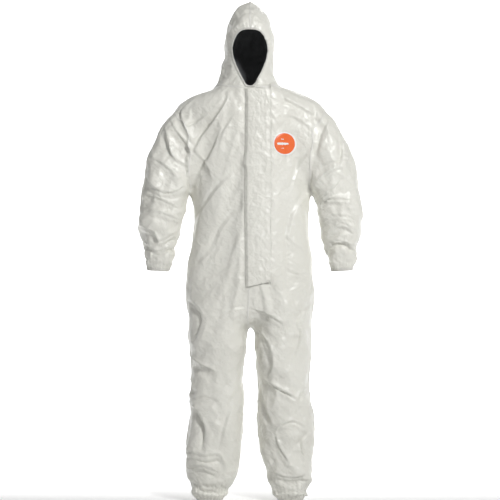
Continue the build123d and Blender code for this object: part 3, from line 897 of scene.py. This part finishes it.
def ribbon(near, path, width, height, closed=False, step=0.006):
    """A strip that lies on the cloth along a path: its points, faces and run length."""
    path = np.array(path, float)
    if closed:
        path = np.vstack([path, path[:1]])
    path = smooth_rows(path, 8)
    lengths = np.concatenate([[0], np.cumsum(np.linalg.norm(np.diff(path, axis=0), axis=1))])
    count = max(int(lengths[-1] / step), 2)
    at = np.linspace(0, lengths[-1], count + 1)
    line = np.stack([np.interp(at, lengths, path[:, k]) for k in range(3)], 1)
    line = np.array([near(p)[0] for p in line])
    for _ in range(3):
        middle = (np.roll(line, 1, 0) + np.roll(line, -1, 0)) / 2
        if not closed:
            middle[0], middle[-1] = line[0], line[-1]
        line = line + 0.5 * (middle - line)
    verts, rows = [], 5
    for i, p in enumerate(line):
        ahead, behind = line[min(i + 1, count)], line[max(i - 1, 0)]
        if closed and i in (0, count):
            ahead, behind = line[1], line[-2]
        tangent = (ahead - behind) / max(np.linalg.norm(ahead - behind), 1e-9)
        _, n = near(p)
        across = np.cross(n, tangent)
        across /= max(np.linalg.norm(across), 1e-9)
        for k in range(rows):
            s = 2 * k / (rows - 1) - 1
            q, m = near(p + across * s * width / 2)
            verts.append(q + m * (0.0003 + height * (1 - s ** 4)))
    faces = [
        (i * rows + k, i * rows + k + 1, (i + 1) * rows + k + 1, (i + 1) * rows + k)
        for i in range(count)
        for k in range(rows - 1)
    ]
    uv = [(at[i], k / (rows - 1)) for i in range(count + 1) for k in range(rows)]
    return verts, faces, uv


def mm(*points):
    return [tuple(c / 1000 for c in p) for p in points]


SEAM_W, SEAM_H = 0.0075, 0.0008
ARMHOLE = mm(
    (291, 0, 1466), (268, -62, 1436), (243, -95, 1392), (228, -100, 1330), (222, -88, 1255),
    (222, -42, 1192), (226, 0, 1180), (222, 52, 1192), (224, 104, 1262), (236, 122, 1340),
    (256, 104, 1410), (276, 55, 1450),
)
NECK = mm(
    (24, -96, 1551), (60, -90, 1556), (100, -62, 1561), (120, 0, 1562), (98, 62, 1561),
    (50, 92, 1560), (0, 98, 1559), (-50, 92, 1560), (-98, 62, 1561), (-122, 0, 1562),
    (-102, -62, 1561), (-62, -90, 1556), (-24, -96, 1551),
)


def flip(points):
    return [(-x, y, z) for x, y, z in points]


def seam_paths():
    """Every seam: its path, and whether it closes on itself."""
    paths = [(NECK, False)]
    paths.append((mm((-4, -140, 800), (-6, -135, 740), (-9, -90, 690), (-9, 0, 668), (0, 90, 690),
                     (0, 140, 760), (0, 140, 900), (0, 130, 1100), (0, 140, 1300), (0, 110, 1480),
                     (0, 98, 1550)), False))
    paths.append((mm((0, 100, 1570), (0, 108, 1640), (0, 120, 1730), (0, 112, 1800), (0, 70, 1860),
                     (0, 20, 1884), (0, -40, 1862), (0, -90, 1810), (0, -100, 1778)), False))
    for side in (1, -1):
        turn = (lambda q: q) if side == 1 else flip
        paths.append((turn(ARMHOLE), True))
        paths.append((turn(mm((118, 4, 1564), (180, 6, 1546), (245, 4, 1510), (288, 0, 1470))), False))
        paths.append((turn(mm((226, 0, 1176), (222, 0, 1080), (230, 0, 960), (243, 0, 830),
                              (243, 0, 740), (228, 0, 600), (236, 0, 420), (246, 0, 260),
                              (244, 0, 120), (205, 0, 30))), False))
        paths.append((turn(mm((10, 0, 660), (16, 0, 580), (26, 0, 460), (36, 0, 320), (44, 0, 200),
                              (56, 0, 100), (98, 0, 24))), False))
        paths.append((turn(mm((232, 0, 1176), (256, 0, 1098), (270, 0, 1020), (290, 0, 925),
                              (306, 0, 880))), False))
    return paths


def join_seams(obj):
    near = surface_of(obj)
    base_verts = len(obj.data.vertices)
    verts, faces, uvs = [], [], []
    for path, closed in seam_paths():
        v, f, uv = ribbon(near, path, SEAM_W, SEAM_H, closed)
        base = len(verts)
        verts += v
        uvs += uv
        faces += [tuple(i + base for i in face) for face in f]
    seams = new_mesh("seams", verts, faces)
    layer = seams.data.uv_layers.new(name="UVMap")
    loops = np.empty(len(seams.data.loops), np.int32)
    seams.data.loops.foreach_get("vertex_index", loops)
    layer.data.foreach_set("uv", np.array(uvs, np.float32)[loops].ravel())
    for p in seams.data.polygons:
        p.use_smooth = True
        p.material_index = 1
    obj.data.uv_layers.new(name="UVMap")
    obj.data.materials.clear()
    obj.data.materials.append(laminate)
    obj.data.materials.append(seam_tape)
    seams.data.materials.append(laminate)
    seams.data.materials.append(seam_tape)
    with bpy.context.temp_override(active_object=obj, selected_editable_objects=[obj, seams]):
        bpy.ops.object.join()
    return base_verts


# ------------------------------------------------------------------ cutting into pieces
def split(obj, pieces):
    """Cuts a mesh into named pieces by a piece number per face, with shared normals."""
    mesh = obj.data
    normals = normals_of(obj)
    made = {}
    counts = np.array([len(p.vertices) for p in mesh.polygons])
    centres = np.empty(len(mesh.polygons) * 3, np.float32)
    mesh.polygons.foreach_get("center", centres)
    number = pieces(centres.reshape(-1, 3).astype(float))
    starts = np.concatenate([[0], np.cumsum(counts)[:-1]])
    loops = np.empty(len(mesh.loops), np.int32)
    mesh.loops.foreach_get("vertex_index", loops)
    materials = np.empty(len(mesh.polygons), np.int32)
    mesh.polygons.foreach_get("material_index", materials)
    uv = np.empty(len(mesh.loops) * 2, np.float32)
    mesh.uv_layers[0].data.foreach_get("uv", uv)
    uv = uv.reshape(-1, 2)
    co = points_of(obj)
    for k, name in enumerate(PIECES):
        chosen = np.nonzero(number == k)[0]
        if not len(chosen):
            continue
        take = np.concatenate([np.arange(starts[i], starts[i] + counts[i]) for i in chosen])
        used, local = np.unique(loops[take], return_inverse=True)
        local = local.tolist()
        faces, at = [], 0
        for i in chosen:
            faces.append(tuple(local[at:at + counts[i]]))
            at += counts[i]
        piece = new_mesh(name, co[used], faces)
        piece.data.materials.append(laminate)
        piece.data.materials.append(seam_tape)
        piece.data.polygons.foreach_set("material_index", materials[chosen])
        piece.data.uv_layers.new(name="UVMap").data.foreach_set("uv", uv[take].ravel())
        piece.data.polygons.foreach_set("use_smooth", np.ones(len(chosen), bool))
        piece.data.normals_split_custom_set_from_vertices([tuple(n) for n in normals[used]])
        made[name] = piece
    bpy.data.objects.remove(obj)
    return made


PIECES = ["torso_cloth", "hood_cloth"]
for side_name in ("left", "right"):
    PIECES += [f"{side_name}_sleeve_top", f"{side_name}_sleeve_end", f"{side_name}_leg_top",
               f"{side_name}_leg_end"]

# Planes of the bends: each piece starts just before its plane.
ARM_AXIS = Vector((0.974, 0, -0.227))
ARM_PLANE = Vector((0.237, 0, 1.163))
ARM_BEND = 0.060  # how far the shoulder's bend reaches along the sleeve
ELBOW_FROM, ELBOW_TO = 1.085, 0.990
HIP_AXIS = Vector((0.5, 0, -0.866))
CROTCH = Vector((0, 0, 0.655))
KNEE_FROM, KNEE_TO = 0.480, 0.320
COLLAR_FROM, COLLAR_TO = 1.566, 1.640
EARLY = 0.007
# The middle of the gap between the sleeve and the torso: height, x
GAP_Z = [0.86, 0.92, 0.98, 1.04, 1.10, 1.166]
GAP_X = [0.272, 0.263, 0.253, 0.245, 0.239, 0.233]


def piece_numbers(c):
    number = np.zeros(len(c), int)
    number[c[:, 2] > COLLAR_FROM - EARLY] = PIECES.index("hood_cloth")
    for side, name in ((1, "left"), (-1, "right")):
        x = c[:, 0] * side
        along_arm = (x - ARM_PLANE.x) * ARM_AXIS.x + (c[:, 2] - ARM_PLANE.z) * ARM_AXIS.z
        arm = (along_arm > -EARLY) & (x > 0.2) & (c[:, 2] > 0.85) & (c[:, 2] < 1.5)
        arm &= (x > np.interp(c[:, 2], GAP_Z, GAP_X)) | (c[:, 2] > GAP_Z[-1])
        number[arm] = PIECES.index(f"{name}_sleeve_top")
        number[arm & (c[:, 2] < ELBOW_FROM + EARLY) & (along_arm > ARM_BEND)] = PIECES.index(f"{name}_sleeve_end")
        along_leg = x * HIP_AXIS.x + (c[:, 2] - CROTCH.z) * HIP_AXIS.z
        leg = (x > 0) & (along_leg > -EARLY) & ~arm & (c[:, 2] < 0.84)
        number[leg] = PIECES.index(f"{name}_leg_top")
        number[leg & (c[:, 2] < KNEE_FROM + EARLY)] = PIECES.index(f"{name}_leg_end")
    return number


join_seams(garment)
cloth = split(garment, piece_numbers)

RAISED = Vector((0, 0, 1))


def carry(obj, body):
    """Rides on one body."""
    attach(obj, body)


def bend_like(obj, zone):
    """Bakes the piece's placement into its mesh, the same for every zone."""
    if zone == "hood":
        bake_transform(obj)
    elif zone == "shoulder":
        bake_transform(obj)
    elif zone == "elbow":
        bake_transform(obj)
    elif zone == "hip":
        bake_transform(obj)
    elif zone == "knee":
        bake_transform(obj)


near_torso = surface_of(cloth["torso_cloth"])
near_hood = surface_of(cloth["hood_cloth"])


def thicken(obj, thickness):
    solid = obj.modifiers.new("solid", "SOLIDIFY")
    solid.thickness = thickness
    solid.offset = -1
    apply_modifiers(obj)


def grid_faces(rows, columns, closed=False):
    """Faces of a grid of points stored row by row."""
    last = columns if closed else columns - 1
    return [
        (i * columns + j, i * columns + (j + 1) % columns,
         (i + 1) * columns + (j + 1) % columns, (i + 1) * columns + j)
        for i in range(rows - 1)
        for j in range(last)
    ]


def finish_piece(obj, *materials):
    for m in materials:
        obj.data.materials.append(m)
    obj.data.polygons.foreach_set("use_smooth", np.ones(len(obj.data.polygons), bool))
    obj.data.update()


# ------------------------------------------------------------------ storm flap
# Free edge of the flap: height, x
FLAP_EDGE = mm((1546, -19), (1500, -17), (1420, -17.5), (1330, -19), (1262, -25), (1246, -20),
               (1100, -20), (978, -19), (880, -17.5), (806, -17))
FLAP_ROWS, FLAP_COLUMNS = 300, 40


def crumple(x, y, z, scale):
    """Ridged noise, 0 to 1: sharp creases between small planes."""
    total, weight = 0.0, 0.0
    for octave in range(3):
        f = scale * 1.9 ** octave
        w = 0.55 ** octave
        total += w * (1 - abs(noise.noise(Vector((x * f, y * f, z * f + 7.3 * octave)))) * 1.9)
        weight += w
    return total / weight


def storm_flap():
    edge = np.array(FLAP_EDGE)[::-1]
    verts = []
    for i in range(FLAP_ROWS):
        t = i / (FLAP_ROWS - 1)
        for j in range(FLAP_COLUMNS):
            s = j / (FLAP_COLUMNS - 1)
            bottom = 0.806 + 0.019 * s
            z = bottom + (1.546 - bottom) * t
            free = float(np.interp(z, edge[:, 0], edge[:, 1]))
            x = free + (FLAP_HINGE - free) * s
            tuck = float(smoothstep(0.0, 0.125, s))
            lift = 0.0022 + (FLAP_RISE - 0.0022) * tuck
            lift -= 0.004 * float(smoothstep(0.012, 0.0, t)) * float(smoothstep(0.25, 0.4, s))
            wrinkled = float(smoothstep(0.10, 0.30, s) * smoothstep(1.0, 0.85, s))
            crease = 0.0020 * (crumple(x * 1.3, 0.0, z * 0.62, 26) - 0.62)
            beyond_zip = float(smoothstep(0.008, 0.020, x))
            lift += wrinkled * (crease * beyond_zip + max(crease, 0) * (1 - beyond_zip))
            lift += 0.0010 * (1 + math.sin(z * 19 + 1.0)) * wrinkled
            verts.append((x, float(form_front(x, z)) - lift, z))
    obj = new_mesh("storm_flap_cloth", verts, grid_faces(FLAP_ROWS, FLAP_COLUMNS))
    uv = obj.data.uv_layers.new(name="UVMap")
    index = np.empty(len(obj.data.loops), np.int32)
    obj.data.loops.foreach_get("vertex_index", index)
    flat = np.array([(v[0], v[2]) for v in verts], np.float32)
    uv.data.foreach_set("uv", flat[index].ravel())
    thicken(obj, 0.0009)
    finish_piece(obj, laminate)
    return obj


flap = storm_flap()


def threads(name, near, path, spacing=0.0045, length=0.0030, width=0.0007, lift=0.0004):
    """A row of stitches that lie on a surface along a path."""
    path = smooth_rows(np.array(path, float), 6)
    lengths = np.concatenate([[0], np.cumsum(np.linalg.norm(np.diff(path, axis=0), axis=1))])
    verts, faces = [], []
    for k in range(int(lengths[-1] / spacing)):
        ends = [
            np.array([np.interp(k * spacing + d, lengths, path[:, c]) for c in range(3)])
            for d in (0.0, length)
        ]
        (a, n), (b, _) = near(ends[0]), near(ends[1])
        t = (b - a) / max(np.linalg.norm(b - a), 1e-9)
        side = np.cross(n, t) * width / 2
        base = len(verts)
        middle = (a + b) / 2 + n * lift * 1.8
        verts += [a + side, a - side, middle - side + n * 0, middle + side + n * 0,
                  b - side, b + side]
        faces += [(base, base + 1, base + 2, base + 3), (base + 3, base + 2, base + 4, base + 5)]
    obj = new_mesh(name, verts, faces)
    finish_piece(obj, thread)
    return obj


near_flap = surface_of(flap)
flap_stitches = threads(
    "flap_stitches", near_flap,
    [(x + 0.005, float(form_front(x, z)) - 0.012, z) for z, x in FLAP_EDGE],
)
corner = mm((62, -140, 824), (68, -140, 832), (74, -140, 824), (68, -140, 818), (62, -140, 824))
corner_stitches = threads("flap_corner_stitches", near_flap, corner, spacing=0.0016, length=0.0014)
strip_points = mm((-14, 0, 820), (-8, 0, 820), (-14, 0, 1510), (-8, 0, 1510))


def adhesive_strip():
    rows, columns = 140, 4
    verts = []
    for i in range(rows):
        z = 0.816 + (1.514 - 0.816) * i / (rows - 1)
        for j in range(columns):
            x = -0.013 + 0.006 * j / (columns - 1)
            verts.append((x, float(form_front(x, z)) - 0.0028, z))
    obj = new_mesh("flap_adhesive", verts, grid_faces(rows, columns))
    thicken(obj, 0.0005)
    finish_piece(obj, adhesive)
    return obj


strip = adhesive_strip()


# ------------------------------------------------------------------ chest patch
PATCH_X, PATCH_Z, PATCH_R, PATCH_FACE_R = 0.129, 1.340, 0.0445, 0.0390


def patch(name, radii, lift, m, around=120, centre=True):
    """A disc or ring of film that lies on the chest, with a dropped rim."""
    verts = []
    for radius, drop in radii:
        for k in range(around):
            a = 2 * math.pi * k / around
            x, z = PATCH_X + radius * math.cos(a), PATCH_Z + radius * math.sin(a)
            q, _ = near_torso((x, float(form_front(x, z)) - 0.004, z))
            smooth = 0.0
            for dx, dz in ((0.012, 0), (-0.012, 0), (0, 0.012), (0, -0.012)):
                smooth += near_torso((x + dx, float(form_front(x + dx, z + dz)) - 0.004, z + dz))[0][1] / 4
            y = min(q[1], smooth) - lift + drop
            verts.append((x, y, z))
    faces = grid_faces(len(radii), around, closed=True)
    if centre:
        q, _ = near_torso((PATCH_X, -0.11, PATCH_Z))
        ring = [v[1] for v in verts[-around:]]
        verts.append((PATCH_X, sum(ring) / around, PATCH_Z))
        base = (len(radii) - 1) * around
        faces += [(base + k, base + (k + 1) % around, len(verts) - 1) for k in range(around)]
    obj = new_mesh(name, verts, faces)
    finish_piece(obj, m)
    return obj


R, F = PATCH_R, PATCH_FACE_R
border = patch(
    "patch_border",
    [(R, 0.0010), (R - 0.0003, 0.0003), (R - 0.001, 0.0), (R - 0.003, 0.0), (F - 0.002, 0.0), (F * 0.7, 0.0003)],
    0.0012, patch_white, centre=False,
)
face_disc = patch(
    "patch_face",
    [(F, 0.0004), (F - 0.0004, 0.0), (F * 0.85, 0.0), (F * 0.7, 0.0), (F * 0.5, 0.0), (F * 0.3, 0.0), (F * 0.12, 0.0)],
    0.0016, patch_orange,
)


def patch_bars():
    """Three plain white bars, which stand for the printing."""
    near = surface_of(face_disc)
    verts, faces = [], []
    for middle, width, height in ((0.017, 0.016, 0.0030), (0.0, 0.050, 0.0085), (-0.017, 0.012, 0.0026)):
        columns, rows = 24, 5
        base = len(verts)
        for i in range(rows):
            for j in range(columns):
                u, v = 2 * j / (columns - 1) - 1, 2 * i / (rows - 1) - 1
                end = math.sqrt(max(1 - max(abs(u) * width / 2 - width / 2 + height / 2, 0) ** 2 / (height / 2) ** 2, 0))
                x = PATCH_X + u * width / 2
                z = PATCH_Z + middle + v * height / 2 * end
                q, n = near((x, -0.112, z))
                verts.append(tuple(q + np.array([0, -0.0006, 0])))
        faces += [tuple(base + i for i in f) for f in grid_faces(rows, columns)]
    obj = new_mesh("patch_bars", verts, faces)
    finish_piece(obj, patch_white)
    return obj


bars = patch_bars()


# ------------------------------------------------------------------ face elastic
def face_elastic():
    """A gathered elastic rim round the face opening."""
    outline = np.array(face_outline + face_outline[:1])
    lengths = np.concatenate([[0], np.cumsum(np.linalg.norm(np.diff(outline, axis=0), axis=1))])
    count, rows = 360, 12
    at = np.linspace(0, lengths[-1], count, endpoint=False)
    px, pz = np.interp(at, lengths, outline[:, 0]), np.interp(at, lengths, outline[:, 1])
    base = []
    for x, z in zip(px, pz):
        q, n = near_hood((x, -0.10, z)) if z > COLLAR_FROM - EARLY else near_torso((x, -0.10, z))
        base.append((q, n))
    line = np.array([b[0] for b in base])
    normal = np.array([b[1] for b in base])
    for _ in range(6):
        line = 0.5 * line + 0.25 * (np.roll(line, 1, 0) + np.roll(line, -1, 0))
        normal = 0.5 * normal + 0.25 * (np.roll(normal, 1, 0) + np.roll(normal, -1, 0))
    verts = []
    for i in range(count):
        tangent = line[(i + 1) % count] - line[i - 1]
        tangent /= np.linalg.norm(tangent)
        n = normal[i] / np.linalg.norm(normal[i])
        across = np.cross(tangent, n)
        if across[0] * line[i][0] + across[2] * (line[i][2] - 1.665) < 0:
            across = -across
        gather = 1 + 0.16 * math.sin(i * 2 * math.pi * 75 / count) * (0.6 + 0.4 * math.sin(i * 0.21))
        for k in range(rows):
            a = 2 * math.pi * k / rows
            verts.append(line[i] + across * (0.0022 + 0.0036 * math.cos(a)) + n * 0.0019 * gather * math.sin(a))
    faces = grid_faces(count, rows, closed=True)
    faces += [((count - 1) * rows + k, (count - 1) * rows + (k + 1) % rows, (k + 1) % rows, k) for k in range(rows)]
    obj = new_mesh("face_elastic", verts, faces)
    finish_piece(obj, elastic)
    return obj


rim = face_elastic()


def hood_shade_sheet():
    """A dark sheet a little inside the hood's cloth: painted shade for the inside of the hood, not a lining."""
    source = cloth["hood_cloth"]
    co, n = points_of(source), normals_of(source)
    keep = [
        tuple(reversed(p.vertices)) for p in source.data.polygons
        if p.material_index == 0
    ]
    used = sorted({i for f in keep for i in f})
    local = {v: i for i, v in enumerate(used)}
    inner = co - n * 0.0022
    obj = new_mesh("hood_shade_sheet", inner[used], [tuple(local[i] for i in f) for f in keep])
    finish_piece(obj, hood_shade_fabric)
    return obj


# the hood's inside: a dark sheet of painted shade
inside = hood_shade_sheet()


# ------------------------------------------------------------------ elastic ends
def elastic_end(name, centre, axis, rows, pleats, depth, m):
    """A gathered ring round an opening: rows of how far along its axis, radius and pleat share."""
    axis = np.array(axis) / np.linalg.norm(axis)
    u = np.cross(axis, (0, 1, 0))
    u /= np.linalg.norm(u)
    v = np.cross(axis, u)
    around = pleats * 10
    verts = []
    for s, radius, share in rows:
        for k in range(around):
            a = 2 * math.pi * k / around
            wave = math.sin(pleats * a + 1.3 * math.sin(3 * a)) + 0.4 * math.sin(2.3 * pleats * a + 0.7)
            r = radius + depth * share * wave
            verts.append(np.array(centre) + axis * s + (u * math.cos(a) + v * math.sin(a)) * r)
    obj = new_mesh(name, verts, grid_faces(len(rows), around, closed=True))
    finish_piece(obj, m)
    return obj


# Rows of an elastic end: how far along its axis, radius, share of the pleats' depth
WRIST_ROWS = [
    (-0.0110, 0.0385, 1.2), (-0.0080, 0.0404, 1.0), (-0.0060, 0.0416, 0.9), (-0.0020, 0.0420, 0.9),
    (0.0030, 0.0418, 0.9), (0.0062, 0.0411, 0.6), (0.0076, 0.0398, 0.3), (0.0066, 0.0386, 0.1),
    (-0.0100, 0.0384, 0.1),
]
ANKLE_ROWS = [
    (-0.0120, 0.0450, 1.2), (-0.0090, 0.0474, 1.0), (-0.0060, 0.0486, 0.9), (-0.0010, 0.0490, 0.9),
    (0.0040, 0.0485, 0.8), (0.0066, 0.0474, 0.5), (0.0078, 0.0460, 0.2), (0.0068, 0.0447, 0.1),
    (-0.0110, 0.0445, 0.1),
]
ends = {}
for side, name in ((1, "left"), (-1, "right")):
    ends[f"{name}_wrist"] = elastic_end(
        f"{name}_cuff", (side * 0.347, 0, 0.8722), (side * 0.0555, 0, -0.9985), WRIST_ROWS, 34, 0.0008, elastic
    )
    ends[f"{name}_ankle"] = elastic_end(
        f"{name}_ankle_end", (side * 0.152, 0, 0.008), (0, 0, -1), ANKLE_ROWS, 38, 0.0010, elastic
    )

# ------------------------------------------------------------------ carrying the pieces
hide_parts("front_left_panel", "front_right_panel", "back_panel", "neck_binding",
            "flap_seam_fold",
            *[f"{s}_{n}" for s in ("left", "right") for n in ("shoulder_seam_tape", "side_seam_tape")])
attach(cloth["torso_cloth"], "torso")
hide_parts("hood_left_panel", "hood_right_panel", "hood_collar", "hood_center_seam_tape")
bend_like(cloth["hood_cloth"], "hood")
bend_like(inside, "hood")
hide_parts("hood_face_elastic")
bend_like(rim, "hood")
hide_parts("storm_flap")
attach(flap, "storm_flap")
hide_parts("flap_adhesive_strip")
for piece in (strip, flap_stitches, corner_stitches):
    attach(piece, "storm_flap")
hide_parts("chest_patch_border")
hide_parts("chest_patch_face")
for piece in (border, face_disc, bars):
    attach(piece, "torso")
for name in ("left", "right"):
    sleeve_top, sleeve_end = cloth[f"{name}_sleeve_top"], cloth[f"{name}_sleeve_end"]
    leg_top, leg_end = cloth[f"{name}_leg_top"], cloth[f"{name}_leg_end"]
    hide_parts(f"{name}_sleeve_head", f"{name}_sleeve_upper", f"{name}_armhole_binding")
    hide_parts(f"{name}_sleeve_elbow", f"{name}_sleeve_lower", f"{name}_sleeve_seam_tape")
    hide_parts(f"{name}_seat", f"{name}_leg_upper", f"{name}_inseam_tape_upper")
    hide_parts(f"{name}_leg_knee", f"{name}_leg_lower", f"{name}_inseam_tape_lower")
    bend_like(sleeve_top, "shoulder")
    bend_like(sleeve_end, "elbow")
    bend_like(leg_top, "hip")
    bend_like(leg_end, "knee")
    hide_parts(f"{name}_wrist_hem", f"{name}_wrist_elastic")
    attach(ends[f"{name}_wrist"], f"{name}_lower_sleeve")
    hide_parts(f"{name}_ankle_hem", f"{name}_ankle_elastic")
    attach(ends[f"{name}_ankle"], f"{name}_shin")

# What the frame's own visible pieces are made of
CAD_MATERIALS = {
    "zipper_tape": zip_tape, "zipper_teeth": zip_plastic, "zipper_bottom_stop": zip_plastic,
    "zipper_top_stops": zip_plastic, "zipper_slider": zip_plastic, "zipper_pull_tab": zip_plastic,
    "neck_label": label,
}
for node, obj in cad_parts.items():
    for ending, m in CAD_MATERIALS.items():
        if node.endswith(ending):
            obj.data.materials.clear()
            obj.data.materials.append(m)

# ------------------------------------------------------------------ stage
scene = bpy.context.scene
scene.view_settings.view_transform = "Standard"
world = bpy.data.worlds.new("world")
scene.world = world
world.use_nodes = True
world.node_tree.nodes["Background"].inputs[0].default_value = (1, 1, 1, 1)
world.node_tree.nodes["Background"].inputs[1].default_value = 0.20


def area_light(name, location, target, size, power):
    light = bpy.data.lights.new(name, "AREA")
    light.shape = "RECTANGLE"
    light.size, light.size_y = size
    light.energy = power
    obj = bpy.data.objects.new(name, light)
    scene.collection.objects.link(obj)
    obj.location = location
    obj.rotation_euler = (Vector(target) - Vector(location)).to_track_quat("-Z", "Y").to_euler()
    return obj


area_light("key", (2.6, -4.7, 4.0), (0, 0, 0.9), (0.75, 0.75), 238)
area_light("fill", (-2.6, -2.6, 1.4), (0, 0, 0.9), (1.6, 2.2), 5)
area_light("rim", (0.5, 2.6, 3.0), (0, 0, 1.0), (1.6, 0.8), 8)


def studio_white(name, start, end):
    """White that glows more and more from depth start to depth end, behind the suit."""
    m, tree, shader = material(name, (0.85, 0.85, 0.85), 0.7)
    shader.inputs["Emission Color"].default_value = (1, 1, 1, 1)
    place = tree.nodes.new("ShaderNodeTexCoord")
    parts = tree.nodes.new("ShaderNodeSeparateXYZ")
    tree.links.new(place.outputs["Object"], parts.inputs[0])
    ramp = tree.nodes.new("ShaderNodeMapRange")
    ramp.inputs["From Min"].default_value = start
    ramp.inputs["From Max"].default_value = end
    tree.links.new(parts.outputs["Y"], ramp.inputs["Value"])
    tree.links.new(ramp.outputs["Result"], shader.inputs["Emission Strength"])
    return m


floor = new_mesh("floor", [(-9, -9, -0.003), (9, -9, -0.003), (9, 9, -0.003), (-9, 9, -0.003)], [(0, 1, 2, 3)])
floor.data.materials.append(studio_white("floor", -0.1, 0.6))
wall = new_mesh("backdrop", [(-9, 9, -0.003), (9, 9, -0.003), (9, 9, 8), (-9, 9, 8)], [(0, 1, 2, 3)])
wall.data.materials.append(studio_white("backdrop", -0.1, 0.6))

CAMERA_M = 7.0
PICTURE_M = 1.8875  # what the picture spans at the suit
camera = bpy.data.objects.new("camera", bpy.data.cameras.new("camera"))
scene.collection.objects.link(camera)
camera.location = (0, -CAMERA_M, PICTURE_M / 2)
camera.rotation_euler = (math.pi / 2, 0, 0)
camera.data.sensor_width = 36
camera.data.lens = 36 * CAMERA_M / PICTURE_M
scene.camera = camera
